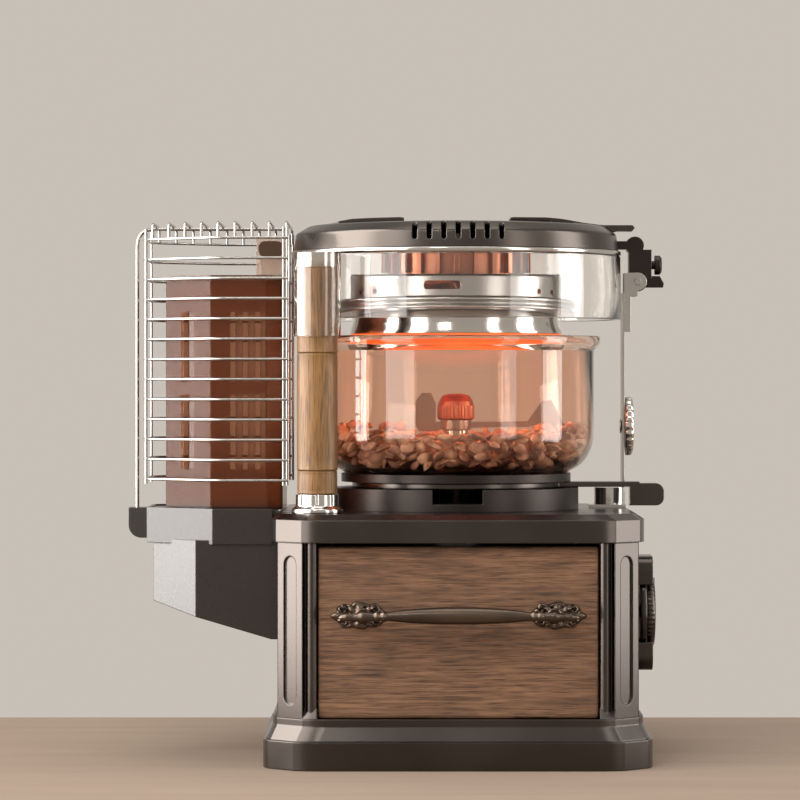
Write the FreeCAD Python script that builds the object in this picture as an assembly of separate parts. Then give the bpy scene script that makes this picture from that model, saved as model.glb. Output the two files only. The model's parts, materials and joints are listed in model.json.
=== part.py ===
"""Home coffee bean roaster: a glass pot with a stirrer on a square cabinet, under a
hinged heater lid, with a cooling drawer below and a caged chaff collector at the left.

Millimetres. X to the right, Y to the back, Z up. The origin is the middle of the base,
on the surface that the roaster stands on, and the pot and the lid stand over it.
"""
import FreeCAD
import Part
import math
import os

V = FreeCAD.Vector

# Fits
shaft_clearance = 0.06
slip_clearance = 0.15
running_clearance = 0.3
sheet = 1.5

# Cabinet: feet, plinth, collar, posts and deck
foot_height = 2.0
foot_radius = 11.0
foot_inset = 30.0
plinth_width = 232.0
plinth_height = 15.0
plinth_wall = 18.0
plinth_floor = 2.5
collar_width = 221.2
collar_height = 13.0
collar_slope_height = 8.6
collar_foot_step = 1.5
collar_wall = 19.0
corner_reach = 32.0
facet_reach = 18.4
facet_inset = 3.1
post_width = 214.4
post_height = 103.8
post_reach = 23.8
post_facet = 15.0
post_thickness = 12.2
post_setback = 3.7
post_flare_height = 6.3
bead_radius = 3.3
groove_width = 10.6
groove_depth = 1.3
groove_margin = 8.0
deck_width = 222.4
deck_face_height = 13.3
deck_bevel_height = 3.5
deck_bevel_width = 5.2
deck_pocket_wall = 16.0
panel_thickness = 2.5
panel_setback = 5.7

# Drawer and its handle
drawer_gap = 0.7
drawer_front_thickness = 12.0
drawer_front_setback = 3.2
drawer_lift = 0.4
drawer_head_gap = 2.4
tray_side_gap = 19.0
tray_length = 154.0
tray_height = 58.0
tray_lift = 10.0
screen_height = 12.0
screen_thickness = 1.2
screen_hole_radius = 2.6
screen_holes = 9
rail_width = 27.0
rail_height = 22.0
handle_length = 142.0
handle_span = 113.0
handle_height = 91.0
handle_stand = 15.0
handle_radius = 5.2
handle_tip_radius = 2.4
rosette_length = 29.0
rosette_height = 18.6
rosette_thickness = 4.0

# Control knob on the right side
knob_height = 87.0
knob_radius = 25.0
knob_cap_radius = 22.4
knob_skirt_thickness = 4.0
knob_cap_thickness = 6.8
bezel_thickness = 18.9
bezel_width = 40.0
bezel_length = 70.0
bezel_pocket = 9.4
spindle_radius = 3.0

# Parts inside the cabinet
fan_size = 92.0
fan_thickness = 14.5
fan_bore = 43.0
fan_hub_radius = 14.0
fan_blades = 7
motor_radius = 25.0
motor_length = 32.0
motor_plate = 70.0
inlet_width = 28.0
inlet_height = 20.0
board_width = 90.0
board_height = 60.0

# Pot, its seat and the stirrer
seat_radius = 75.5
seat_wall = 11.0
seat_height = 13.4
seat_ledge_height = 4.9
seat_gap = 30.0
boss_radius = 10.5
lock_plate_radius = 64.0
lock_plate_thickness = 3.1
lever_reach = 128.0
lever_tab_length = 21.0
lever_tab_height = 13.6
lever_width = 13.0
trivet_radius = 70.7
trivet_thickness = 5.1
pot_radius = 85.0
pot_height = 84.2
pot_wall = 2.6
pot_corner_reach = 21.0
pot_corner_rise = 25.0
pot_lip_width = 4.0
pot_lip_height = 3.0
shaft_radius = 4.0
column_radius = 7.7
column_height = 30.0
cap_radius = 11.4
cap_height = 14.0
blade_thickness = 2.2
blade_reach = 74.5
blade_gap = 1.6
blade_collar_height = 5.2

# Front pillar
pillar_x = -83.8
pillar_y = -82.0
pillar_radius = 12.25
pillar_height = 146.4
pillar_ring_radius = 15.3
pillar_ring_height = 11.4
pillar_lower_height = 14.0
pillar_upper_height = 51.0
sleeve_radius = 14.0
sleeve_height = 50.0
sleeve_rise = 9.0

# Stay at the right, which carries the lid
stay_x = 104.1
stay_y = 22.0
stay_thickness = 1.4
stay_width = 22.0
stay_tongue = 9.0
stay_foot_radius = 11.2
stay_foot_top_radius = 9.8
stay_foot_height = 10.5
stay_foot_plate = 2.2
stay_foot_offset = 8.1
stay_knob_radius = 18.2
stay_knob_thickness = 5.7
stay_knob_height = 50.7

# Lid and its hinge
hinge_x = 113.0
hinge_drop = 18.0
hinge_pin_radius = 2.2
hinge_knuckle = 6.0
hinge_arm_width = 14.4
hinge_ear = 3.6
lid_lift = 49.0
lid_radius = 100.0
lid_rim_overhang = 1.6
lid_rim_height = 3.0
lid_wall_height = 10.5
lid_wall_taper = 1.2
lid_chamfer_width = 8.1
lid_chamfer_height = 4.9
lid_dome_height = 3.1
skirt_height = 39.0
skirt_wall = 3.0
lid_floor_thickness = 3.0
vent_count = 7
vent_pitch = 8.6
vent_width = 3.0
wing_half_width = 17.0
wing_rise = 2.4
fin_radius = 46.0
fin_height = 12.0
fin_count = 24
housing_radius = 65.0
housing_height = 12.0
flange_radius = 74.0
flange_height = 6.5
reflector_radius = 64.0
reflector_top_radius = 61.0
reflector_height = 16.5
heater_tube_radius = 3.0
lid_fan_radius = 52.0
lid_fan_blades = 8
lid_motor_radius = 22.0
lid_motor_height = 11.5
button_radius = 6.0
button_travel = 2.0

# Chaff collector at the left
bracket_left = -188.8
bracket_crease = -147.4
bracket_front = 62.0
bracket_left_half = 30.0
tray_top = 152.5
tray_bottom = 131.0
tray_rim = 0.9
bracket_inset = 4.0
bracket_low = 74.0
bracket_low_left = 97.0
bracket_wall = 2.5
chaff_left = -177.0
chaff_right = -105.5
chaff_front = 55.0
chaff_height = 138.7
chaff_wall = 2.0
chaff_left_crease = -149.0
chaff_right_crease = -114.7
chaff_left_half = 33.0
chaff_right_half = 45.0
chaff_lid_thickness = 3.0
slot_width = 2.8
slot_pitch = 7.5
duct_left = -122.5
duct_half = 20.0
duct_height = 24.0
duct_wall = 2.5
cage_left = -191.0
cage_right = -101.3
cage_crease = -146.2
cage_front = 65.0
cage_left_half = 29.0
cage_top = 315.6
cage_pitch = 12.16
cage_rows = 13
cage_wire = 0.85
cage_crown_rise = 9.4
cage_crown_wires = 9
cage_hoop_x = -196.5
cage_hoop_wire = 1.1
cage_hoop_bend = 9.0
socket_width = 12.6
socket_height = 18.5
socket_half = 9.0

# Levels and half widths that follow
cage_crown = cage_top + cage_crown_rise
plinth_half = plinth_width / 2
collar_half = collar_width / 2
post_half = post_width / 2
deck_half = deck_width / 2
collar_level = foot_height + plinth_height
post_level = collar_level + collar_height
deck_level = post_level + post_height
deck_edge_level = deck_level + deck_face_height
deck_top = deck_edge_level + deck_bevel_height
panel_face = post_half - panel_setback
panel_back = panel_face - panel_thickness
post_inner = post_half - post_reach
post_line = post_half - post_setback
seat_top = deck_top + seat_height
trivet_level = seat_top + lock_plate_thickness + 2 * running_clearance
pot_level = trivet_level + trivet_thickness
pot_rim = pot_level + pot_height
lid_level = pot_rim + lid_lift
hinge_z = lid_level + lid_rim_height - hinge_drop
shell_level = lid_level + lid_rim_height


def box(x0, x1, y0, y1, z0, z1):
    return Part.makeBox(x1 - x0, y1 - y0, z1 - z0, V(x0, y0, z0))


def rod(radius, x, y, z0, z1):
    return Part.makeCylinder(radius, z1 - z0, V(x, y, z0), V(0, 0, 1))


def rod_x(radius, x0, x1, y, z):
    return Part.makeCylinder(radius, x1 - x0, V(x0, y, z), V(1, 0, 0))


def rod_y(radius, x, y0, y1, z):
    return Part.makeCylinder(radius, y1 - y0, V(x, y0, z), V(0, 1, 0))


def tube(inner, outer, x, y, z0, z1):
    return rod(outer, x, y, z0, z1).cut(rod(inner, x, y, z0 - 1, z1 + 1))


def between(start, end, radius):
    """A round bar from one point to another."""
    run = end.sub(start)
    return Part.makeCylinder(radius, run.Length, start, run)


def prism(points, z0, z1):
    """A flat outline, carried straight up."""
    corners = [V(x, y, z0) for x, y in points]
    face = Part.Face(Part.makePolygon(corners + corners[:1]))
    return face.extrude(V(0, 0, z1 - z0))


def slab(points, y0, y1):
    """An outline drawn in X and Z, carried back."""
    corners = [V(x, y0, z) for x, z in points]
    face = Part.Face(Part.makePolygon(corners + corners[:1]))
    return face.extrude(V(0, y1 - y0, 0))


def turned(points, x=0.0, y=0.0):
    """An outline drawn in radius and Z, turned about an upright axis."""
    corners = [V(x + r, y, z) for r, z in points]
    face = Part.Face(Part.makePolygon(corners + corners[:1]))
    return face.revolve(V(x, y, 0), V(0, 0, 1), 360)


def fuse(shapes):
    whole = shapes[0].multiFuse(shapes[1:]) if len(shapes) > 1 else shapes[0]
    return whole.removeSplitter()


def outline(half, z):
    """The cabinet's plan: a square whose corners are an arc, a 45 degree facet and an arc."""
    edges = []
    flat = half - corner_reach
    far = half - facet_inset
    near = half - facet_reach
    bow = (corner_reach - facet_reach) / 2
    sag = facet_inset * 0.28
    for turn in range(4):
        angle = math.radians(90 * turn)

        def place(x, y, angle=angle):
            return V(x * math.cos(angle) - y * math.sin(angle),
                     x * math.sin(angle) + y * math.cos(angle), z)
        edges.append(Part.LineSegment(place(half, -flat), place(half, flat)).toShape())
        edges.append(Part.Arc(place(half, flat), place(half - sag, flat + bow),
                              place(far, near)).toShape())
        edges.append(Part.LineSegment(place(far, near), place(near, far)).toShape())
        edges.append(Part.Arc(place(near, far), place(flat + bow, half - sag),
                              place(flat, half)).toShape())
    return Part.Wire(edges)


def block(half, z0, z1):
    return Part.Face(outline(half, z0)).extrude(V(0, 0, z1 - z0))


def taper(half_low, half_high, z0, z1):
    return Part.makeLoft([outline(half_low, z0), outline(half_high, z1)], True, True)


def mirrored_x(shape):
    return shape.mirror(V(0, 0, 0), V(1, 0, 0))


def mirrored_y(shape):
    return shape.mirror(V(0, 0, 0), V(0, 1, 0))


def save(node, *shapes):
    """Writes one node: one solid, or a group of separate solids."""
    solids = [solid for shape in shapes for solid in shape.Solids]
    whole = solids[0] if len(solids) == 1 else Part.makeCompound(solids)
    whole.exportStep("parts/" + node + ".step")
    low = whole.BoundBox
    print("%-18s %d  X %7.1f %7.1f  Y %7.1f %7.1f  Z %6.1f %6.1f%s" % (
        node, len(solids), low.XMin, low.XMax, low.YMin, low.YMax, low.ZMin, low.ZMax,
        "" if whole.isValid() else "  not valid"))


def turned_x(points, y, z):
    """An outline drawn in X and radius, turned about an axis along X."""
    corners = [V(x, y, z + r) for x, r in points]
    face = Part.Face(Part.makePolygon(corners + corners[:1]))
    return face.revolve(V(0, y, z), V(1, 0, 0), 360)


def fan_wheel(hub, outer, z0, z1, blades, blade_thickness, pitch_degrees):
    """A hub with flat blades, each tilted about its own length."""
    middle = (z0 + z1) / 2
    half = (z1 - z0) / 2 - 0.4
    parts = [rod(hub, 0, 0, z0, z1)]
    for number in range(blades):
        blade = box(hub - 1.5, outer, -blade_thickness / 2, blade_thickness / 2, -half, half)
        blade.rotate(V(0, 0, 0), V(1, 0, 0), pitch_degrees)
        blade.translate(V(0, 0, middle))
        blade.rotate(V(0, 0, 0), V(0, 0, 1), number * 360 / blades)
        parts.append(blade)
    return fuse(parts)


os.makedirs("parts", exist_ok=True)


# Feet and plinth

foot_place = plinth_half - foot_inset
save("rubber_feet", *[rod(foot_radius, side * foot_place, end * foot_place, 0, foot_height)
                      for side in (-1, 1) for end in (-1, 1)])

pocket_half = plinth_half - plinth_wall
floor_top = foot_height + plinth_floor
plinth = block(plinth_half, 0, collar_level)
foot_pockets = [rod(foot_radius + slip_clearance, side * foot_place, end * foot_place, -1,
                    foot_height) for side in (-1, 1) for end in (-1, 1)]
save("plinth_lower", plinth.cut(Part.makeCompound(foot_pockets + [
    box(-pocket_half, pocket_half, -pocket_half, pocket_half, floor_top, collar_level + 1)])))

collar_shoulder = collar_level + collar_slope_height
collar_inner = collar_half - collar_wall
collar = fuse([taper(plinth_half - collar_foot_step, collar_half, collar_level, collar_shoulder),
               block(collar_half, collar_shoulder, post_level)])
save("plinth_upper", collar.cut(box(-collar_inner, collar_inner, -collar_inner, collar_inner,
                                    collar_level - 1, post_level + 1)))


# Corner posts, each with two beads and a round-ended groove on its facet

def corner_post():
    back = post_half - post_thickness
    facet = post_half - post_facet
    step = facet - 1.5
    plan = [(post_inner, back), (post_inner, post_line), (step, post_line), (facet, post_half),
            (post_half, facet), (post_line, step), (post_line, post_inner), (back, post_inner),
            (back, back)]
    bead = post_inner + bead_radius
    flare = taper(collar_half, post_half, post_level, post_level + post_flare_height)
    corner = box(post_inner, collar_half, post_inner, collar_half, post_level, deck_level)
    hollow = box(post_inner - 1, back, post_inner - 1, back, post_level - 1, deck_level)
    post = fuse([prism(plan, post_level, deck_level),
                 rod(bead_radius, bead, post_line, post_level, deck_level),
                 rod(bead_radius, post_line, bead, post_level, deck_level),
                 flare.common(corner).cut(hollow)])
    end = groove_width / 2
    low = post_level + groove_margin + end
    high = deck_level - groove_margin - end
    groove = fuse([box(-groove_depth, 3, -end, end, low, high),
                   rod_x(end, -groove_depth, 3, 0, low),
                   rod_x(end, -groove_depth, 3, 0, high)])
    groove.rotate(V(0, 0, 0), V(0, 0, 1), 45)
    middle = (facet + post_half) / 2
    groove.translate(V(middle, middle, 0))
    return post.cut(groove)


post = corner_post()
save("corner_posts", post, mirrored_x(post), mirrored_y(post), mirrored_y(mirrored_x(post)))


# Side and rear panels, with the inlet, the board and the screws behind them

save("side_panel_left", box(-panel_face, -panel_back, -post_inner, post_inner,
                            post_level, deck_level))
side = box(panel_back, panel_face, -post_inner, post_inner, post_level, deck_level)
save("side_panel_right", side.cut(rod_x(spindle_radius + slip_clearance, panel_back - 1,
                                        panel_face + 1, 0, knob_height)))

inlet_x = 48.0
inlet_z = 58.0
inlet_flange = 2.0
inlet_depth = 22.0
inlet_wall = 3.0
inlet_ear = 9.0
screw_radius = 1.5
screw_head_radius = 3.2
screw_head_height = 1.8
screw_depth = 4.0
inlet_low_x = inlet_x - inlet_width / 2
inlet_high_x = inlet_x + inlet_width / 2
inlet_low_z = inlet_z - inlet_height / 2
inlet_high_z = inlet_z + inlet_height / 2
ear_offset = inlet_width / 2 + inlet_ear / 2
post_screw_x = post_inner - 5.0
rear_screws = [(side * post_screw_x, post_level + post_height * share)
               for side in (-1, 1) for share in (0.08, 0.36, 0.64, 0.92)]
inlet_screws = [(inlet_x - ear_offset, inlet_z), (inlet_x + ear_offset, inlet_z)]
vent_low = post_level + 58.0
vent_high = deck_level - 14.0

rear = box(-post_inner, post_inner, panel_back, panel_face, post_level, deck_level)
rear_cuts = [box(inlet_low_x - slip_clearance, inlet_high_x + slip_clearance, panel_back - 1,
                 panel_face + 1, inlet_low_z - slip_clearance, inlet_high_z + slip_clearance)]
rear_cuts += [box(x - 1.6, x + 1.6, panel_back - 1, panel_face + 1, vent_low, vent_high)
              for x in range(-56, 57, 8)]
rear_cuts += [rod_y(screw_radius + slip_clearance, x, panel_back - 1, panel_face + 1, z)
              for x, z in rear_screws + inlet_screws]
save("rear_panel", rear.cut(Part.makeCompound(rear_cuts)))


def screw(x, z, seat):
    """A pan-head screw whose head sits on a face at the back."""
    return fuse([rod_y(screw_radius, x, seat - screw_depth, seat, z),
                 rod_y(screw_head_radius, x, seat, seat + screw_head_height, z)])


save("panel_screws", *[screw(x, z, panel_face) for x, z in rear_screws],
     *[screw(x, z, panel_face + inlet_flange) for x, z in inlet_screws])

inlet = fuse([box(inlet_low_x, inlet_high_x, panel_back - inlet_depth, panel_face,
                  inlet_low_z, inlet_high_z),
              box(inlet_low_x - inlet_ear, inlet_high_x + inlet_ear, panel_face,
                  panel_face + inlet_flange, inlet_low_z - 2, inlet_high_z + 2)])
inlet_holes = [rod_y(screw_radius + slip_clearance, x, panel_back, panel_face + 5, z)
               for x, z in inlet_screws]
inlet_recess = box(inlet_low_x + inlet_wall, inlet_high_x - inlet_wall,
                   panel_back - inlet_depth + inlet_wall, panel_face + 5,
                   inlet_low_z + inlet_wall, inlet_high_z - inlet_wall)
save("power_inlet", inlet.cut(Part.makeCompound(inlet_holes + [inlet_recess])))

board_x = -30.0
board_z = 62.0
board_stand = 7.0
board_thickness = 1.6
board_peg_radius = 2.5
board_face = panel_back - board_stand
board = box(board_x - board_width / 2, board_x + board_width / 2, board_face - board_thickness,
            board_face, board_z - board_height / 2, board_z + board_height / 2)
pegs = [rod_y(board_peg_radius, board_x + side * (board_width / 2 - 2 * board_peg_radius),
              board_face, panel_back, board_z + end * (board_height / 2 - 2 * board_peg_radius)) for side in (-1, 1) for end in (-1, 1)]
chips = [box(board_x - board_width / 3, board_x - board_width * 0.13,
             board_face - board_height * 0.2, board_face - board_thickness,
             board_z - board_height * 0.3, board_z + board_height * 0.07),
         box(board_x + board_width * 0.07, board_x + board_width / 3,
             board_face - board_height * 0.27, board_face - board_thickness,
             board_z - board_height * 0.07, board_z + board_height * 0.27)]
save("control_board", fuse([board] + pegs + chips))


# Deck, open below, with the stirrer motor under it

deck_hole = shaft_radius + 2.0
deck_pocket = deck_half - deck_pocket_wall
deck = fuse([block(deck_half, deck_level, deck_edge_level),
             taper(deck_half, deck_half - deck_bevel_width, deck_edge_level, deck_top)])
save("deck", deck.cut(Part.makeCompound([
    box(-deck_pocket, deck_pocket, -deck_pocket, deck_pocket, deck_level - 1, deck_edge_level),
    rod(deck_hole, 0, 0, deck_edge_level - 1, deck_top + 1)])))

motor_flange = 3.0
motor_bore_depth = 13.0
motor_top = deck_edge_level
motor_low = motor_top - motor_flange - motor_length
motor = fuse([rod(motor_radius, 0, 0, motor_low, motor_top - motor_flange),
              box(-motor_plate / 2, motor_plate / 2, -motor_plate / 2, motor_plate / 2,
                  motor_top - motor_flange, motor_top)])
save("stir_motor", motor.cut(rod(shaft_radius + shaft_clearance, 0, 0,
                                 motor_top - motor_bore_depth, motor_top + 1)))


# Cooling fan on the cabinet's floor

fan_floor = 2.0
fan_pin = 2.0
fan_half = fan_size / 2
fan_top = floor_top + fan_thickness
fan_seat = floor_top + fan_floor
fan_rotor_low = fan_seat + 2.0
frame_hole_radius = 8.0
frame = box(-fan_half, fan_half, -fan_half, fan_half, floor_top, fan_top)
frame = frame.cut(rod(fan_bore, 0, 0, fan_seat, fan_top + 1))
frame = frame.cut(Part.makeCompound([
    rod(frame_hole_radius, 29 * math.cos(math.radians(45 * turn)),
        29 * math.sin(math.radians(45 * turn)), floor_top - 1, fan_seat + 1)
    for turn in range(8)]))
frame = fuse([frame, rod(fan_pin + 5, 0, 0, fan_seat, fan_rotor_low - running_clearance),
              rod(fan_pin, 0, 0, fan_seat, fan_top - 3)])
save("cooling_fan_frame", frame)
rotor = fan_wheel(fan_hub_radius, fan_bore - 2, fan_rotor_low, fan_top - 1, fan_blades, 1.4, 35)
save("cooling_fan_rotor", rotor.cut(rod(fan_pin + shaft_clearance, 0, 0, fan_rotor_low - 1,
                                        fan_top - 3 + running_clearance)))


# Drawer: wooden front, sheet tray, perforated screen, and the rails that carry it

front_face = -(post_half - drawer_front_setback)
front_back = front_face + drawer_front_thickness
front_half = post_inner - drawer_gap
front_low = post_level + drawer_lift
front_high = deck_level - drawer_head_gap
save("drawer_front", box(-front_half, front_half, front_face, front_back, front_low, front_high))

tray_half = panel_back - tray_side_gap
tray_back = front_back + tray_length
tray_low = post_level + tray_lift
tray_high = tray_low + tray_height
tray_inner = tray_half - sheet
tray = box(-tray_half, tray_half, front_back, tray_back, tray_low, tray_high)
tray = tray.cut(Part.makeCompound([
    box(-tray_inner, tray_inner, front_back + sheet, tray_back - sheet, tray_low + sheet,
        tray_high + 1),
    rod(fan_bore, 0, (front_back + tray_back) / 2, tray_low - 1, tray_low + sheet + 1)]))
save("drawer_tray", tray)

screen_low = tray_low + screen_height
screen_pitch_x = 2 * tray_inner / (screen_holes + 1)
screen_pitch_y = (tray_length - 2 * sheet) / (screen_holes + 1)
screen = box(-tray_inner, tray_inner, front_back + sheet, tray_back - sheet, screen_low,
             screen_low + screen_thickness)
save("cooling_screen", screen.cut(Part.makeCompound([
    rod(screen_hole_radius, -tray_inner + screen_pitch_x * (across + 1),
        front_back + sheet + screen_pitch_y * (along + 1), screen_low - 1,
        screen_low + screen_thickness + 1)
    for across in range(screen_holes) for along in range(screen_holes)])))

rail_top = tray_low - running_clearance
rail_sheet = 2.0
rail_end = post_inner - 0.4
rail = fuse([box(panel_back - rail_width, panel_back, -rail_end, rail_end,
                 rail_top - rail_sheet, rail_top),
             box(panel_back - rail_sheet, panel_back, -rail_end, rail_end,
                 rail_top - rail_sheet, rail_top - rail_sheet + rail_height)])
save("drawer_rails", rail, mirrored_x(rail))


# Handle: a swelling bar on two stands, over two oval rosettes

def rosette(x):
    """Two ovals, the smaller one towards the middle, as one plate."""
    ovals = []
    for shift, length, height in ((0, rosette_length, rosette_height),
                                  (-12.5, rosette_height * 0.62, rosette_height * 0.8),
                                  (12.5, rosette_height * 0.62, rosette_height * 0.62)):
        major = V(1, 0, 0) if length > height else V(0, 0, 1)
        ring = Part.Ellipse(V(0, 0, 0), max(length, height) / 2, min(length, height) / 2)
        edge = ring.toShape()
        edge.rotate(V(0, 0, 0), V(1, 0, 0), 90)
        if major.z:
            edge.rotate(V(0, 0, 0), V(0, 1, 0), 90)
        side = -1 if x < 0 else 1
        edge.translate(V(x + side * shift, front_face, handle_height))
        ovals.append(Part.Face(Part.Wire(edge)).extrude(V(0, -rosette_thickness, 0)))
    return fuse(ovals)


stand_x = handle_span / 2
stand_radius = 3.4
bar_y = front_face - rosette_thickness - handle_stand
bar_neck = 46.0
bar_end = handle_length / 2
profile = Part.Wire([
    Part.LineSegment(V(-bar_end, 0, 0), V(-bar_end, handle_tip_radius * 0.7, 0)).toShape(),
    Part.LineSegment(V(-bar_end, handle_tip_radius * 0.7, 0),
                     V(-bar_neck, handle_tip_radius, 0)).toShape(),
    Part.Arc(V(-bar_neck, handle_tip_radius, 0), V(0, handle_radius, 0),
             V(bar_neck, handle_tip_radius, 0)).toShape(),
    Part.LineSegment(V(bar_neck, handle_tip_radius, 0),
                     V(bar_end, handle_tip_radius * 0.7, 0)).toShape(),
    Part.LineSegment(V(bar_end, handle_tip_radius * 0.7, 0), V(bar_end, 0, 0)).toShape(),
    Part.LineSegment(V(bar_end, 0, 0), V(-bar_end, 0, 0)).toShape()])
bar = Part.Face(profile).revolve(V(0, 0, 0), V(1, 0, 0), 360)
bar.translate(V(0, bar_y, handle_height))
stands = [rod_y(stand_radius, side * stand_x, bar_y, front_face - rosette_thickness,
                handle_height) for side in (-1, 1)]
save("handle_bar", fuse([bar] + stands))
save("handle_rosettes", rosette(-stand_x), rosette(stand_x))


# Control knob, its bezel and the switch that it turns

bezel_face = panel_face + bezel_thickness
bezel_floor = bezel_face - bezel_pocket
bezel = box(panel_face, bezel_face, -bezel_width / 2, bezel_width / 2,
            knob_height - bezel_length / 2, knob_height + bezel_length / 2)
long_edges = [edge for edge in bezel.Edges if abs(edge.tangentAt(edge.FirstParameter).x) > 0.9]
bezel = bezel.makeFillet(9.0, long_edges)
knob_low = bezel_floor + 1.7
switch_depth = tray_side_gap - 4.5
switch_half = 14.0
spindle_end = panel_back - switch_depth + 4.0
save("knob_bezel", bezel.cut(Part.makeCompound([
    rod_x(knob_radius + 1.5, bezel_floor, bezel_face + 1, 0, knob_height),
    rod_x(spindle_radius + shaft_clearance, panel_face - 1, bezel_face, 0, knob_height)])))
save("knob_skirt", fuse([
    rod_x(knob_radius, knob_low, knob_low + knob_skirt_thickness, 0, knob_height),
    rod_x(spindle_radius, spindle_end, knob_low, 0, knob_height)]))
cap_low = knob_low + knob_skirt_thickness
save("knob_cap", turned_x([(cap_low, 0), (cap_low, knob_cap_radius),
                           (cap_low + knob_cap_thickness * 0.45, knob_cap_radius),
                           (cap_low + knob_cap_thickness * 0.75, knob_cap_radius * 0.9),
                           (cap_low + knob_cap_thickness * 0.93, knob_cap_radius * 0.65),
                           (cap_low + knob_cap_thickness, knob_cap_radius * 0.3),
                           (cap_low + knob_cap_thickness, 0)], 0, knob_height))
switch = box(panel_back - switch_depth, panel_back, -switch_half, switch_half,
             knob_height - switch_half, knob_height + switch_half)
save("control_switch", switch.cut(rod_x(spindle_radius + shaft_clearance,
                                        spindle_end - 1, panel_back + 1, 0, knob_height)))


# Pot seat, lock lever, trivet and glass pot

seat_inner = seat_radius - seat_wall
seat = fuse([tube(seat_inner, seat_radius, 0, 0, deck_top, seat_top).cut(
    box(-seat_gap / 2, seat_gap / 2, -seat_radius - 1, 0, deck_top + seat_ledge_height,
        seat_top + 1)),
    tube(seat_inner - 6, seat_inner + 1, 0, 0, deck_top, deck_top + seat_ledge_height)])
save("seat_ring", seat)

lock_low = seat_top + running_clearance
lock_high = lock_low + lock_plate_thickness
tab_inner = lever_reach - lever_tab_length
tab_top = lock_high - 1.0
tab_half = lever_width / 2
lever = fuse([rod(lock_plate_radius, 0, 0, lock_low, lock_high),
              prism([(lock_plate_radius - 4, -tab_half - 5), (tab_inner, -tab_half),
                     (tab_inner + 6, -tab_half), (tab_inner + 6, tab_half),
                     (tab_inner, tab_half), (lock_plate_radius - 4, tab_half + 5)],
                    lock_low, lock_high)])
tab = box(tab_inner, lever_reach, -tab_half, tab_half, tab_top - lever_tab_height, tab_top)
tab_corners = [edge for edge in tab.Edges
               if abs(edge.tangentAt(edge.FirstParameter).y) > 0.9
               and edge.BoundBox.XMin > lever_reach - 1]
tab = tab.makeFillet(5.0, tab_corners)
save("lock_lever", fuse([lever, tab]).cut(rod(boss_radius + running_clearance, 0, 0,
                                              lock_low - 1, lock_high + 1)))

trivet = fuse([rod(trivet_radius, 0, 0, trivet_level, pot_level),
               rod(boss_radius, 0, 0, deck_top, trivet_level)])
save("trivet_disk", trivet.cut(rod(shaft_radius + 1.5, 0, 0, deck_top - 1, pot_level + 1)))


def pot_line(offset, low):
    """The pot's rounded corner, from its flat bottom to its straight side."""
    edge = pot_radius - offset
    points = []
    for step in range(7):
        angle = math.radians(15 * step)
        points.append((edge - pot_corner_reach + pot_corner_reach * math.sin(angle),
                       low + (pot_corner_rise - offset) * (1 - math.cos(angle))))
    return points


pot_floor = pot_level + pot_wall
lip_low = pot_rim - pot_lip_height
pot_outline = [(shaft_radius + 2.5, pot_level)] + pot_line(0, pot_level) + [
    (pot_radius, lip_low - pot_lip_width), (pot_radius + pot_lip_width, lip_low),
    (pot_radius + pot_lip_width, pot_rim), (pot_radius - pot_wall + 1, pot_rim),
    (pot_radius - pot_wall, lip_low)]
pot_outline += list(reversed(pot_line(pot_wall, pot_floor)))
pot_outline += [(shaft_radius + 2.5, pot_floor)]
save("glass_pot", turned(pot_outline))


# Stirrer: shaft, column, cap and blades turn together

column_top = pot_floor + blade_gap + column_height
cap_low = column_top - 2.8
cap_top = cap_low + cap_height
shaft_low = motor_top - motor_bore_depth + 1
save("stirrer_shaft", rod(shaft_radius, 0, 0, shaft_low, cap_low + 4))
column_low = pot_floor + blade_gap
column_bore = shaft_radius + slip_clearance
save("stirrer_column", tube(column_bore, column_radius, 0, 0, column_low, cap_low - blade_collar_height))
save("stirrer_cap", turned([(0, cap_low + 4), (column_bore, cap_low + 4), (column_bore, cap_low),
                            (cap_radius - 0.8, cap_low), (cap_radius, cap_low + 1),
                            (cap_radius, cap_low + cap_height * 0.55),
                            (cap_radius * 0.93, cap_low + cap_height * 0.78),
                            (cap_radius * 0.72, cap_low + cap_height * 0.94),
                            (cap_radius * 0.4, cap_top), (0, cap_top)]))
collar_low = cap_low - blade_collar_height
half_blade = blade_thickness / 2


def blade_outline(shares):
    """A blade's outline from shares of its reach, out from the axis and up from the collar."""
    return [(x * blade_reach, collar_low + z * blade_reach) for x, z in shares]


blades = fuse([
    rod(column_radius + 1.8, 0, 0, collar_low, cap_low),
    slab(blade_outline([(0.103, 0.013), (0.604, 0.02), (0.738, 0.054), (0.859, -0.094),
                        (0.96, -0.215), (1, -0.181), (0.913, 0.02), (0.792, 0.217),
                        (0.718, 0.211), (0.591, 0.06), (0.103, 0.056)]), -half_blade, half_blade),
    slab(blade_outline([(-0.103, 0.013), (-0.161, -0.013), (-0.309, -0.013), (-0.336, 0.04),
                        (-0.336, 0.204), (-0.282, 0.264), (-0.201, 0.264), (-0.168, 0.191),
                        (-0.168, 0.056), (-0.103, 0.056)]), -half_blade, half_blade)])
save("stirrer_blades", blades.cut(rod(column_bore, 0, 0, collar_low - 1, cap_low + 1)))


# Front pillar: a chrome foot ring, three wooden segments, a clear sleeve and a top ring

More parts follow.
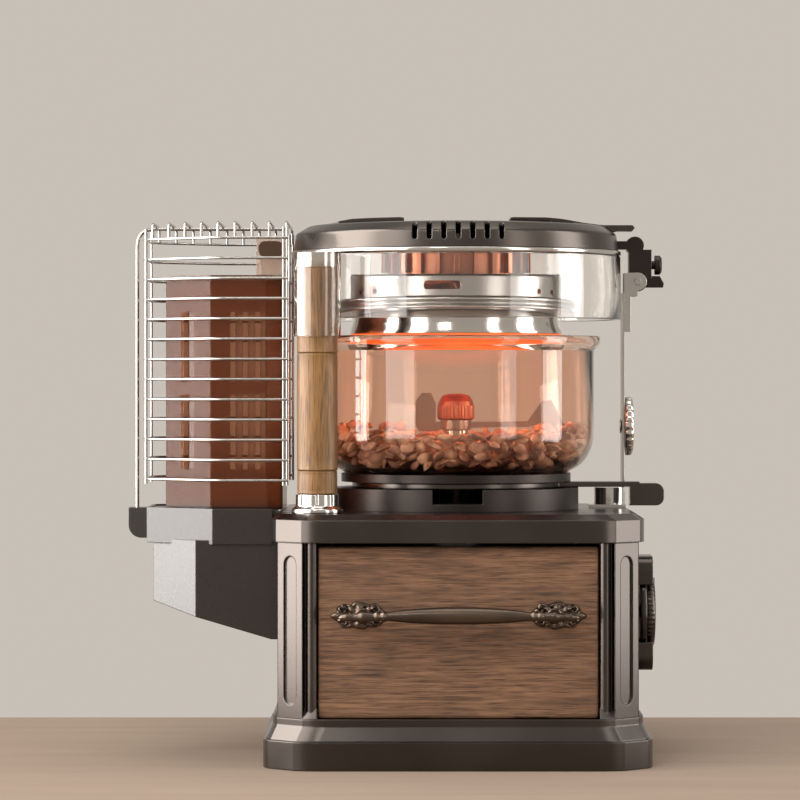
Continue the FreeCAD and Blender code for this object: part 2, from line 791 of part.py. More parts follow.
ring_top = deck_top + pillar_ring_height
pillar_top = deck_top + pillar_height
lower_top = ring_top + pillar_lower_height
upper_low = pillar_top - pillar_upper_height
foot_ring = turned([(0, deck_top), (pillar_ring_radius, deck_top),
                    (pillar_ring_radius, deck_top + 2.5), (pillar_ring_radius - 2, deck_top + 4),
                    (pillar_ring_radius - 2.6, ring_top), (0, ring_top)], pillar_x, pillar_y)
sleeve_low = pillar_top - sleeve_height + sleeve_rise
sleeve_top = pillar_top + sleeve_rise
save("pillar_rings", foot_ring, rod(pillar_radius, pillar_x, pillar_y, pillar_top, sleeve_top))
save("pillar_segments",
     rod(pillar_radius - 0.3, pillar_x, pillar_y, ring_top, lower_top),
     rod(pillar_radius, pillar_x, pillar_y, lower_top, upper_low),
     rod(pillar_radius, pillar_x, pillar_y, upper_low, pillar_top))
save("pillar_sleeve", tube(pillar_radius + slip_clearance, sleeve_radius, pillar_x, pillar_y,
                           sleeve_low, sleeve_top))


# Stay: a foot with a cone ring, an upright strip and its clamp knob

foot_x = stay_x - stay_foot_offset
foot_top = deck_top + stay_foot_plate
cone_top = foot_top + stay_foot_height
stay_foot = fuse([box(foot_x - stay_foot_radius - 2, foot_x + stay_foot_radius - 1.4,
                      stay_y - stay_foot_radius, stay_y + stay_foot_radius, deck_top, foot_top),
                  turned([(0, foot_top), (stay_foot_radius - 1.5, foot_top),
                          (stay_foot_radius - 1.5, foot_top + 2),
                          (stay_foot_top_radius, cone_top), (0, cone_top)], foot_x, stay_y)])
tongue_half = stay_tongue / 2
stay_low = foot_top
save("stay_foot", stay_foot.cut(box(stay_x - stay_thickness / 2, stay_x + stay_thickness / 2,
                                    stay_y - tongue_half, stay_y + tongue_half,
                                    stay_low, cone_top + 1)))
stay_half = stay_width / 2
stay_left = stay_x - stay_thickness / 2
stay_right = stay_x + stay_thickness / 2
stay_top = hinge_z - hinge_knuckle - 1.0
stay_knob_z = deck_top + stay_knob_height
strip = fuse([box(stay_left, stay_right, stay_y - tongue_half, stay_y + tongue_half,
                  stay_low, cone_top + 4),
              box(stay_left, stay_right, stay_y - stay_half, stay_y + stay_half,
                  cone_top + 3, stay_top)])
save("stay_plate", strip.cut(rod_x(spindle_radius + shaft_clearance, stay_left - 1,
                                   stay_right + 1, stay_y, stay_knob_z)))
knob_face = stay_right + running_clearance
knob_out = knob_face + stay_knob_thickness
clip_in = stay_left - running_clearance
save("stay_knob", fuse([
    turned_x([(knob_face, 0), (knob_face, stay_knob_radius - 0.8),
              (knob_face + 1, stay_knob_radius), (knob_out - 2, stay_knob_radius),
              (knob_out - 0.7, stay_knob_radius - 1.5), (knob_out, stay_knob_radius * 0.55),
              (knob_out, 0)], stay_y, stay_knob_z),
    rod_x(spindle_radius, clip_in - 1.2, knob_face, stay_y, stay_knob_z),
    rod_x(spindle_radius + 1.4, clip_in - 1.2, clip_in, stay_y, stay_knob_z)]))


# Hinge: a bracket with two ears, a pin, and the lid's arm between the ears

arm_half = hinge_arm_width / 2
ear_in = arm_half + running_clearance
ear_out = ear_in + hinge_ear
bracket_face = stay_right
bracket_out = hinge_x - hinge_knuckle + 1.5
bracket_low_z = stay_top - 24.0
ears = []
for side in (-1, 1):
    near = stay_y + min(side * ear_in, side * ear_out)
    ears.append(box(bracket_face, hinge_x, near, near + hinge_ear,
                    hinge_z - hinge_knuckle - 3, hinge_z + hinge_knuckle - 0.5))
    ears.append(rod_y(hinge_knuckle - 0.5, hinge_x, near, near + hinge_ear, hinge_z))
bracket = fuse([box(bracket_face, bracket_out, stay_y - ear_out, stay_y + ear_out,
                    bracket_low_z, hinge_z - hinge_knuckle - 1.2)] + ears)
pin_ear = hinge_pin_radius
save("hinge_bracket", bracket.cut(rod_y(pin_ear, hinge_x, stay_y - ear_out - 1,
                                        stay_y + ear_out + 1, hinge_z)))
pin_half = ear_out + 0.8
save("hinge_pin", rod_y(hinge_pin_radius, hinge_x, stay_y - pin_half, stay_y + pin_half, hinge_z))



def arm_outline(shares):
    """An outline from shares of the knuckle's radius, out from the hinge and up from it."""
    return [(hinge_x + x * hinge_knuckle, hinge_z + z * hinge_knuckle) for x, z in shares]


hook_inset = 2.0
arm_lobe_radius = 5.6
arm_root_half = 2.5
arm_in = stay_y - arm_half
arm_out = stay_y + arm_half
lobe_z = shell_level + lid_wall_height * 0.45
button_z = hinge_z + 10.5
arm_right = hinge_x + 1.45 * hinge_knuckle
arm = fuse([
    rod_y(hinge_knuckle, hinge_x, arm_in, arm_out, hinge_z),
    slab(arm_outline([(-0.87, 0), (-0.87, 3.33), (1.45, 3.33), (1.45, 0.33), (0.92, 0)]),
         arm_in, arm_out),
    slab(arm_outline([(0.5, -0.58), (2.67, -0.58), (2.75, -0.17), (2.33, 0.6), (0.5, 0.6)]),
         arm_in + hook_inset, arm_out - hook_inset),
    rod_y(arm_lobe_radius, hinge_x - 1.6, arm_in, arm_out, hinge_z + 22.5),
    box(lid_radius - 12, hinge_x - 2, arm_in, arm_out, lobe_z - arm_root_half,
        lobe_z + arm_root_half)])
arm = arm.cut(rod(lid_radius + slip_clearance, 0, 0, shell_level - 20, shell_level + 20))
stem_radius = 2.6
stem_end = hinge_x - 0.5
head_in = arm_right + button_travel + running_clearance
arm = arm.cut(rod_x(stem_radius + shaft_clearance, stem_end - button_travel - 0.5,
                    arm_right + 1, stay_y, button_z))
save("lid_arm", arm.cut(rod_y(hinge_pin_radius + shaft_clearance, hinge_x, arm_in - 1,
                              arm_out + 1, hinge_z)))
save("release_button", fuse([
    rod_x(stem_radius, stem_end, head_in, stay_y, button_z),
    turned_x([(head_in, 0), (head_in, button_radius), (head_in + 3.2, button_radius),
              (head_in + 4.3, button_radius - 1.4), (head_in + 4.3, 0)], stay_y, button_z)]))


# Lid: shell with vents, rim, floor, glass skirt and the two wings on top

rim_radius = lid_radius + lid_rim_overhang
skirt_radius = rim_radius - 0.1
shell_edge = lid_radius - lid_wall_taper
shell_shoulder = shell_level + lid_wall_height
shell_crown = shell_shoulder + lid_chamfer_height
shell_flat = shell_edge - lid_chamfer_width
shell_peak = shell_crown + lid_dome_height


def shell_line(inset):
    """The lid's outside from its wall to its middle, or the same line further in."""
    line = [(lid_radius - inset, shell_level), (shell_edge - inset, shell_shoulder - inset * 0.6),
            (shell_flat - inset * 0.6, shell_crown - inset)]
    for step in range(1, 6):
        share = step / 5
        line.append(((shell_flat - inset * 0.6) * (1 - share),
                     shell_crown - inset + lid_dome_height * (1 - (1 - share) ** 2)))
    return line


shell_solid = turned(shell_line(0) + [(0, shell_level)])
shell_inside = turned(shell_line(sheet) + [(0, shell_level)])
vents = []
for number in range(vent_count):
    vent_x = (number - (vent_count - 1) / 2) * vent_pitch
    vents.append(box(vent_x - vent_width / 2, vent_x + vent_width / 2, -rim_radius - 2,
                     -lid_radius + 12, shell_level + 6, shell_crown + 1))
    vents.append(rod_y(vent_width / 2, vent_x, -rim_radius - 2, -lid_radius + 12,
                       shell_level + 6))
save("lid_shell", shell_solid.cut(shell_inside).cut(Part.makeCompound(vents)))

floor_radius = rim_radius - 4.0
floor_bore = 5.0
floor_low = shell_level - lid_floor_thickness - 1.0
floor_high = shell_level - 1.0
save("lid_rim", turned([(floor_radius + slip_clearance, lid_level),
                        (rim_radius - 0.4, lid_level), (rim_radius + 0.3, lid_level + 1.2),
                        (rim_radius, shell_level), (floor_radius + slip_clearance, shell_level)]))
save("lid_floor", tube(floor_bore, floor_radius, 0, 0, floor_low, floor_high))
save("lid_skirt", tube(skirt_radius - skirt_wall, skirt_radius, 0, 0,
                       lid_level - skirt_height, lid_level))

wing_high = shell_peak + wing_rise
wing_crease = 0.72 * lid_radius
wing_neck = 0.92 * lid_radius
tab_half = 0.08 * lid_radius


def wing_outline(shares):
    """An outline from shares of the lid's radius, out from its middle and down from the top."""
    return [(x * lid_radius, wing_high - z * lid_radius) for x, z in shares]


wing_left = slab(wing_outline([(-0.78, 0.105), (-0.78, 0.039), (-0.715, 0.024), (-0.64, 0.011),
                               (-0.53, 0.005), (-0.345, 0), (-0.32, 0.004), (-0.31, 0.15)]),
                 -wing_half_width, wing_half_width)
wing_right = slab(wing_outline([(0.33, 0.004), (0.35, 0), (0.55, 0.002), (0.64, 0.01),
                                (0.78, 0.034), (0.89, 0.046), (1.085, 0.046), (1.1, 0.062),
                                (1.085, 0.082), (0.992, 0.082), (0.8, 0.14), (0.6, 0.14),
                                (0.58, 0.026), (0.33, 0.016)]), -wing_half_width, wing_half_width)
wing_plan = fuse([
    prism([(-wing_neck, -tab_half), (-wing_crease, -wing_half_width), (0, -wing_half_width),
           (0, wing_half_width), (-wing_crease, wing_half_width), (-wing_neck, tab_half)],
          shell_level, wing_high + 1),
    prism([(0, -wing_half_width), (wing_crease, -wing_half_width), (wing_neck, -tab_half),
           (1.2 * lid_radius, -tab_half), (1.2 * lid_radius, tab_half), (wing_neck, tab_half),
           (wing_crease, wing_half_width), (0, wing_half_width)], shell_level, wing_high + 1)])
save("lid_wings", wing_left.common(wing_plan).cut(shell_solid),
     wing_right.common(wing_plan).cut(shell_solid))


# Heater head under the lid: finned ring, housing, reflector, element and fan

fin_low = floor_low - fin_height
fin_core = fin_radius - 4.0
fins = [tube(fin_core - 3, fin_core, 0, 0, fin_low, floor_low)]
for number in range(fin_count):
    fin = box(fin_core - 1, fin_radius, -1.6, 1.6, fin_low + 0.6, floor_low - 0.6)
    fin.rotate(V(0, 0, 0), V(0, 0, 1), number * 360 / fin_count)
    fins.append(fin)
save("fin_ring", fuse(fins))

housing_low = fin_low - housing_height
flange_low = housing_low - flange_height
lip_hole = housing_radius - 5.0
save("heater_housing", turned([
    (floor_bore, fin_low), (housing_radius, fin_low), (housing_radius, housing_low),
    (flange_radius, housing_low), (flange_radius, housing_low - 2),
    (flange_radius - 3, housing_low - 2.6), (flange_radius - 3, flange_low + 2),
    (flange_radius, flange_low + 1.6), (flange_radius, flange_low), (lip_hole, flange_low),
    (lip_hole, housing_low), (housing_radius - 2, housing_low + 1.0),
    (housing_radius - 2, fin_low - 2), (floor_bore, fin_low - 2)]))
reflector_low = flange_low - reflector_height
save("reflector", turned([(reflector_top_radius - 1, flange_low), (reflector_top_radius + 1,
                          flange_low), (reflector_radius + 1.2, reflector_low + 1.5),
                          (reflector_radius + 1.2, reflector_low),
                          (reflector_radius - 1.2, reflector_low)]))
tube_level = reflector_low - heater_tube_radius
element = Part.makeTorus(reflector_radius, heater_tube_radius, V(0, 0, tube_level))
coil = Part.makeTorus(reflector_radius * 0.62, heater_tube_radius, V(0, 0, tube_level))
link = rod_x(heater_tube_radius * 0.8, reflector_radius * 0.62, reflector_radius, 0, tube_level)
save("heater_element", fuse([element, coil, link]))

motor_seat = floor_high
lid_motor_top = motor_seat + lid_motor_height
fan_shaft_radius = 2.0
fan_shaft_top = motor_seat + 6.0
fan_wheel_high = fin_low - 3.5
fan_wheel_low = housing_low + 0.5
save("lid_fan_motor", rod(lid_motor_radius, 0, 0, motor_seat, lid_motor_top).cut(
    rod(fan_shaft_radius + shaft_clearance, 0, 0, motor_seat - 1, fan_shaft_top + 0.5)))
save("lid_fan_rotor", fuse([
    fan_wheel(10.0, lid_fan_radius, fan_wheel_low, fan_wheel_high, lid_fan_blades, 1.2, 30),
    rod(fan_shaft_radius, 0, 0, fan_wheel_high - 1, fan_shaft_top)]))


# Chaff collector: bracket with its tray, socket, box, lid, duct and wire cage

def six_sided(left, left_half, crease, front, right):
    """The collector's plan: straight front and back, with the left corners cut off."""
    return [(right, -front), (crease, -front), (left, -left_half),
            (left, left_half), (crease, front), (right, front)]


tray_right = -deck_half
tray_plan = six_sided(bracket_left, bracket_left_half, bracket_crease, bracket_front, tray_right)
tray_floor = tray_top - tray_rim
rim_plan = six_sided(bracket_left + 2, bracket_left_half - 1, bracket_crease + 1,
                     bracket_front - 2, tray_right + 1)
under_top = deck_level - running_clearance
bracket_left_low = bracket_left + bracket_inset
wedge_front = bracket_front - 1.5
wedge_plan = six_sided(bracket_left_low, bracket_left_half - 2, -157.6, wedge_front, -panel_face)
wedge = prism(wedge_plan, bracket_low, under_top)
slope = slab([(bracket_left_low - 5, bracket_low - 5), (-panel_face + 5, bracket_low - 5),
              (-panel_face + 5, bracket_low), (-112, bracket_low),
              (bracket_left_low - 5, bracket_low_left)], -bracket_front, bracket_front)
hollow_plan = six_sided(bracket_left_low + bracket_wall, bracket_left_half - 3,
                        -157.6 + 1, wedge_front - bracket_wall, -panel_face + 1)
hollow = prism(hollow_plan, bracket_low + bracket_wall, tray_bottom).cut(
    slope.translated(V(0, 0, bracket_wall)))
save("chaff_bracket", fuse([prism(tray_plan, tray_bottom, tray_top).cut(
    prism(rim_plan, tray_floor, tray_top + 1)), wedge.cut(slope).cut(hollow)]))

socket_left = bracket_left - socket_width
socket_low = tray_top - socket_height - 1.0
hoop_low = socket_low + 7.0
socket = box(socket_left, bracket_left, -socket_half, socket_half, socket_low, tray_top - 1.0)
socket_round = [edge for edge in socket.Edges
                if abs(edge.tangentAt(edge.FirstParameter).y) > 0.9
                and edge.BoundBox.ZMax < socket_low + 1 and edge.BoundBox.XMax < socket_left + 1]
save("cage_socket", socket.makeFillet(8.0, socket_round).cut(
    rod(cage_hoop_wire + slip_clearance, cage_hoop_x, 0, hoop_low - 0.5, tray_top + 1)))

chaff_low = tray_floor
chaff_top = chaff_low + chaff_height


def chaff_plan(inset):
    right = chaff_right - inset
    left = chaff_left + inset
    front = chaff_front - inset
    return [(right, -chaff_right_half + inset * 0.5), (chaff_right_crease - inset * 0.4, -front),
            (chaff_left_crease + inset * 0.3, -front), (left, -chaff_left_half + inset * 0.3),
            (left, chaff_left_half - inset * 0.3), (chaff_left_crease + inset * 0.3, front),
            (chaff_right_crease - inset * 0.4, front), (right, chaff_right_half - inset * 0.5)]


slots = []
facet_x = (chaff_left + chaff_left_crease) / 2
facet_y = (chaff_left_half + chaff_front) / 2
facet_turn = math.degrees(math.atan2(chaff_front - chaff_left_half,
                                     chaff_left_crease - chaff_left))
for low, high in ((24.5, 69.5), (77.5, 119.5)):
    for number in (-1, 0, 1):
        shift = number * slot_pitch
        front_x = (chaff_left_crease + chaff_right_crease) / 2 + 4 + shift
        slots.append(box(front_x - slot_width / 2, front_x + slot_width / 2, -chaff_front - 3,
                         chaff_front + 3, chaff_low + low, chaff_low + high))
        for side in (-1, 1):
            slot = box(shift - slot_width / 2, shift + slot_width / 2, -5, 5,
                       chaff_low + low, chaff_low + high)
            slot.rotate(V(0, 0, 0), V(0, 0, 1), -side * facet_turn)
            slot.translate(V(facet_x, side * facet_y, 0))
            slots.append(slot)
chaff = prism(chaff_plan(0), chaff_low, chaff_top).cut(
    prism(chaff_plan(chaff_wall), chaff_low + chaff_wall, chaff_top + 1))
save("chaff_box", chaff.cut(Part.makeCompound(slots)))

duct_right = chaff_right + 1.0
duct_low = chaff_top + chaff_lid_thickness
duct_top = duct_low + duct_height
throat = box(duct_left + duct_wall, duct_right - duct_wall, -duct_half + duct_wall,
             duct_half - duct_wall, chaff_top - 1, duct_top - duct_wall)
chaff_cover = prism(chaff_plan(0), chaff_top, duct_low)
save("chaff_box_lid", chaff_cover.cut(throat))
mouth = box(duct_right - duct_wall - 1, duct_right + 1, -duct_half + duct_wall,
            duct_half - duct_wall, duct_low + 11, duct_top - duct_wall)
save("exhaust_duct", box(duct_left, duct_right, -duct_half, duct_half, duct_low, duct_top)
     .cut(throat).cut(mouth))
cap_length = 7.0
duct_cap = box(duct_left + 1.5, duct_right - 1.0, -duct_half - cap_length, -duct_half,
               duct_top - 12.0, duct_top - 2.5)
cap_edges = [edge for edge in duct_cap.Edges
             if abs(edge.tangentAt(edge.FirstParameter).y) > 0.9]
save("duct_cap", duct_cap.makeFillet(4.2, cap_edges))


def mitre(plan, corner, z):
    """The unit vector along the cut that halves a corner of the plan."""
    if corner in (0, len(plan) - 1):
        return V(0, 1, 0)
    before = V(*plan[corner], 0).sub(V(*plan[corner - 1], 0)).normalize()
    after = V(*plan[corner + 1], 0).sub(V(*plan[corner], 0)).normalize()
    return after.sub(before).normalize()


def mitred_bar(plan, number, z, radius):
    """The straight wire of one side of the plan, cut off square or along its mitres."""
    start = V(*plan[number], z)
    end = V(*plan[number + 1], z)
    along = end.sub(start).normalize()
    spare = 4 * radius
    bar = between(start.sub(along * spare), end.add(along * spare), radius)
    for corner, point, outward in ((number, start, -1), (number + 1, end, 1)):
        cut = mitre(plan, corner, z)
        normal = V(cut.y, -cut.x, 0)
        if normal.dot(along) * outward < 0:
            normal = normal.negative()
        block = Part.makeBox(6 * spare, 6 * spare, 6 * spare,
                             V(-3 * spare, -3 * spare, 0))
        block.Placement = FreeCAD.Placement(point, FreeCAD.Rotation(V(0, 0, 1), normal))
        bar = bar.cut(block)
    return bar


hoop_plan = [(cage_right, -cage_front), (cage_crease, -cage_front), (cage_left, -cage_left_half),
             (cage_left, cage_left_half), (cage_crease, cage_front), (cage_right, cage_front)]
lowest = cage_top - cage_pitch * (cage_rows - 1)
upright_low = lowest - 3
upright_high = cage_crown - 3
inset = cage_wire * 1.6
uprights = {0: [(cage_right - 1.0 - shift, inset - cage_front) for shift in (0, 2.2)],
            2: [(cage_left + inset, side * (cage_left_half - 1)) for side in (-1, 1)],
            4: [(cage_right - 1.0 - shift, cage_front - inset) for shift in (0, 2.2)]}
wires = []
for number in range(len(hoop_plan) - 1):
    bar = mitred_bar(hoop_plan, number, lowest, cage_wire)
    rows = [bar.translated(V(0, 0, cage_pitch * row)) for row in range(cage_rows)]
    standing = [rod(cage_wire, x, y, upright_low, upright_high)
                for x, y in uprights.get(number, [])]
    if standing:
        wires.append(fuse(rows + standing))
    else:
        wires += rows

crown_first = cage_left + 6
crown_step = (cage_right - 1.5 - crown_first) / (cage_crown_wires - 1)
facet_slope = (cage_front - cage_left_half) / (cage_crease - cage_left)
leg_inset = 2 * cage_wire + 0.1
for number in range(cage_crown_wires):
    x = crown_first + crown_step * number
    reach = cage_front - leg_inset
    if x < cage_crease:
        reach = cage_left_half + (x - cage_left) * facet_slope - leg_inset * 1.3
    wires.append(fuse([
        between(V(x, -reach, cage_crown), V(x, reach, cage_crown), cage_wire),
        rod(cage_wire, x, -reach, cage_top, cage_crown),
        rod(cage_wire, x, reach, cage_top, cage_crown),
        Part.makeSphere(cage_wire, V(x, -reach, cage_crown)),
        Part.makeSphere(cage_wire, V(x, reach, cage_crown))]))

bend = cage_hoop_bend
hoop_top = cage_crown - cage_wire - cage_hoop_wire
half_bend = bend * (1 - math.sqrt(0.5))
bend_path = Part.Wire([
    Part.Arc(V(cage_hoop_x, 0, hoop_top - bend),
             V(cage_hoop_x + half_bend, 0, hoop_top - half_bend),
             V(cage_hoop_x + bend, 0, hoop_top)).toShape()])
bend_ring = Part.Wire(Part.makeCircle(cage_hoop_wire, V(cage_hoop_x, 0, hoop_top - bend),
                                      V(0, 0, 1)))
wires.append(rod(cage_hoop_wire, cage_hoop_x, 0, hoop_low, hoop_top - bend))
wires.append(bend_path.makePipeShell([bend_ring], True, False))
wires.append(rod_x(cage_hoop_wire, cage_hoop_x + bend, cage_right - 3, 0, hoop_top))
save("cage_wires", *wires)
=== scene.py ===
"""The looks of a home coffee bean roaster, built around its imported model."""

import json
import math

import bmesh
import bpy
import numpy as np
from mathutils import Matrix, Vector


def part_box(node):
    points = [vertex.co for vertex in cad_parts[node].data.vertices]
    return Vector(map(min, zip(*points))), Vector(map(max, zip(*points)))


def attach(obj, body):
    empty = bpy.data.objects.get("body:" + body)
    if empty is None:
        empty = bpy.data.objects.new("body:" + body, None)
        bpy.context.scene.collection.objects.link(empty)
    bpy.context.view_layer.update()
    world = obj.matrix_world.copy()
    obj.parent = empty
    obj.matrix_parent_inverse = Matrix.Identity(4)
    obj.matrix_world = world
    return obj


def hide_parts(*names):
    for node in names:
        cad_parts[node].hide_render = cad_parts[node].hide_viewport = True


bl_info = {
    "name": "Coffee bean roaster",
    "version": (1, 0, 0),
    "blender": (4, 5, 0),
    "location": "View3D > Sidebar > Roaster",
    "description": "Builds the pieces, finishes and stage of a home coffee bean roaster",
    "category": "Object",
}

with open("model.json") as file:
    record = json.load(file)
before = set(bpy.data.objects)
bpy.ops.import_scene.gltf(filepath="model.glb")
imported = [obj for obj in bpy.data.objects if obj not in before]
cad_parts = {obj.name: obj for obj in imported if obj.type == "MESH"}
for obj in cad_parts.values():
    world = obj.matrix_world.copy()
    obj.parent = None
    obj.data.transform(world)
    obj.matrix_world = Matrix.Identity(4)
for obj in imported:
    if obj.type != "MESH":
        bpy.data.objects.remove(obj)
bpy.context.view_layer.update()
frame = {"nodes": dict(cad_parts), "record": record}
slot_of = {part["node"]: part["material_slot"] for part in frame["record"]["subparts"]}
MM = 0.001
HALF_TURN = math.pi
FULL_TURN = 2 * math.pi
GOLDEN_ANGLE = 2.39996
AXIS_ORDER = {"x": [2, 0, 1], "y": [0, 2, 1], "z": [0, 1, 2]}
MERGE_DISTANCE = 2e-6  # metres
POLE = 0.02  # millimetres, the smallest ring round an axis
SMOOTH_ANGLE = 32.0  # degrees


# Shapes: every one is a grid of points worked out as whole arrays, in millimetres

def skin(grid, wrap_rows=False, capped=True):
    """Points and faces of a grid of points, rows by columns by 3: each face joins a point to the
    next one along its row and the two below them, and each row is closed. Wrapped rows join the
    last row to the first. A cap is one more row at each end, drawn together to its mean point."""
    grid = np.asarray(grid, float)
    if capped and not wrap_rows:
        columns = grid.shape[1]
        ends = [np.repeat(row.mean(0)[None, None], columns, 1) for row in (grid[0], grid[-1])]
        grid = np.concatenate([ends[0], grid, ends[1]], 0)
    rows, columns = grid.shape[:2]
    down = np.arange(rows if wrap_rows else rows - 1)[:, None]
    across = np.arange(columns)[None, :]
    below, beside = (down + 1) % rows, (across + 1) % columns
    faces = np.stack([down * columns + across, down * columns + beside,
                      below * columns + beside, below * columns + across], -1)
    return grid.reshape(-1, 3), faces.reshape(-1, 4)


def rounded(points, radius, steps=4, closed=True):
    """A polyline with its corners rounded: at a corner, (1-t)^2 A + 2t(1-t) C + t^2 B, where A and
    B lie on the two runs at the radius from the corner C, or at 0.45 of a shorter run."""
    points = np.asarray(points, float)
    before, after = np.roll(points, 1, 0), np.roll(points, -1, 0)
    reach = np.broadcast_to(np.asarray(radius, float), (len(points),)).copy()
    if not closed:
        reach[[0, -1]] = 0
    back, ahead = before - points, after - points
    back_length = np.linalg.norm(back, axis=1) + 1e-9
    ahead_length = np.linalg.norm(ahead, axis=1) + 1e-9
    reach = np.minimum(reach, 0.45 * np.minimum(back_length, ahead_length))
    first = points + back * (reach / back_length)[:, None]
    last = points + ahead * (reach / ahead_length)[:, None]
    t = np.linspace(0, 1, steps + 1)[None, :, None]
    bends = ((1 - t) ** 2 * first[:, None] + 2 * t * (1 - t) * points[:, None]
             + t ** 2 * last[:, None])
    line = bends.reshape(-1, points.shape[1])
    keep = np.concatenate([[True], np.linalg.norm(np.diff(line, axis=0), axis=1) > 1e-6])
    return line[keep]


def circle(steps):
    """Angles once round, without the last one, which is the first again."""
    return np.linspace(0, FULL_TURN, steps, endpoint=False)


def rings(outline, angle, cut=0.0, axis="z"):
    """An outline of radius and height carried round an axis: radius cos a, radius sin a, height,
    where the radius is the outline's, less a cut that may change with the angle."""
    radius = outline[:, 0, None] - cut
    grid = np.stack([radius * np.cos(angle), radius * np.sin(angle),
                     np.broadcast_to(outline[:, 1, None], (len(outline), len(angle)))], -1)
    return grid[..., AXIS_ORDER[axis]]


def turned(outline, centre=(0, 0, 0), axis="z", steps=128, wrap=True):
    """An outline of radius and height, turned once. A wrapped outline is closed in itself, and
    any other one is capped at both ends."""
    grid = rings(np.asarray(outline, float), circle(steps), axis=axis)
    return skin(grid + np.asarray(centre, float), wrap_rows=wrap, capped=not wrap)


def carried(path, radius, side=(0, 1, 0), sides=10):
    """A round wire along a flat path: path + radius (cos a S + sin a T x S), where S is the
    direction across the path's plane and T the path's own direction."""
    path = np.asarray(path, float)
    along = np.gradient(path, axis=0)
    along /= np.linalg.norm(along, axis=1)[:, None] + 1e-12
    across = np.broadcast_to(np.asarray(side, float), path.shape)
    lift = np.cross(along, across)
    lift /= np.linalg.norm(lift, axis=1)[:, None] + 1e-12
    angle = circle(sides)[None, :, None]
    reach = np.broadcast_to(np.asarray(radius, float), (len(path),))[:, None, None]
    return skin(path[:, None] + reach * (np.cos(angle) * across[:, None]
                                         + np.sin(angle) * lift[:, None]))


def block(x, y, z, radius=0.6, steps=2):
    """A box whose edges along Z and whose two ends are rounded: rings of a rounded rectangle,
    drawn in by the radius at the lowest and highest ring."""
    corners = np.array([(x[0], y[0]), (x[1], y[0]), (x[1], y[1]), (x[0], y[1])], float)
    eased = radius * 0.3
    return stacked(corners, [(radius, z[0]), (eased, z[0] + eased), (0, z[0] + radius),
                             (0, z[1] - radius), (eased, z[1] - eased), (radius, z[1])],
                   radius * 1.5, steps)


def stacked(corners, profile, radius=0.0, steps=3):
    """A plan carried up a profile: each row is the plan drawn in by the profile's first number,
    along the bisector of each corner, at the height of its second."""
    corners = np.asarray(corners, float)
    before = corners - np.roll(corners, 1, 0)
    after = np.roll(corners, -1, 0) - corners
    before /= np.linalg.norm(before, axis=1)[:, None]
    after /= np.linalg.norm(after, axis=1)[:, None]
    inward = np.stack([-before[:, 1] - after[:, 1], before[:, 0] + after[:, 0]], 1)
    inward /= 1 + (before * after).sum(1)[:, None]
    rows = []
    for inset, height in profile:
        plan = corners + inward * inset
        plan = rounded(plan, radius, steps) if radius else plan
        rows.append(np.concatenate([plan, np.full((len(plan), 1), height)], 1))
    return skin(np.array(rows))


def mesh_of(name, parts):
    """One mesh from a list of parts, with doubles merged and faces turned outwards."""
    starts = np.cumsum([0] + [len(points) for points, faces in parts])
    points = np.concatenate([points for points, faces in parts]) * MM
    faces = np.concatenate([faces + start for (_, faces), start in zip(parts, starts)])
    mesh = bpy.data.meshes.new(name)
    mesh.from_pydata(points.tolist(), [], faces.tolist())
    mesh.validate()
    work = bmesh.new()
    work.from_mesh(mesh)
    bmesh.ops.remove_doubles(work, verts=work.verts, dist=MERGE_DISTANCE)
    bmesh.ops.dissolve_degenerate(work, edges=work.edges, dist=MERGE_DISTANCE / 2)
    bmesh.ops.recalc_face_normals(work, faces=work.faces)
    work.to_mesh(mesh)
    work.free()
    return mesh


def placed(name, data):
    """An object with this data, in the scene."""
    thing = bpy.data.objects.new(name, data)
    bpy.context.scene.collection.objects.link(thing)
    return thing


def piece(name, parts, body, nodes=(), finish=None, sharp=SMOOTH_ANGLE):
    """One object from a list of parts, shaded smooth up to the sharp angle in degrees. It rides on
    a body, stands for the nodes named and has the finish of the first of them."""
    slot = slot_of[nodes[0]] if nodes else None
    mesh = mesh_of(name, parts)
    mesh.shade_smooth()
    mesh.set_sharp_from_angle(angle=math.radians(sharp))
    mesh.materials.append(bpy.data.materials[finish or slot])
    thing = placed(name, mesh)
    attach(thing, body)
    if nodes:
        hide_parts(*nodes)
    return thing


# Finishes

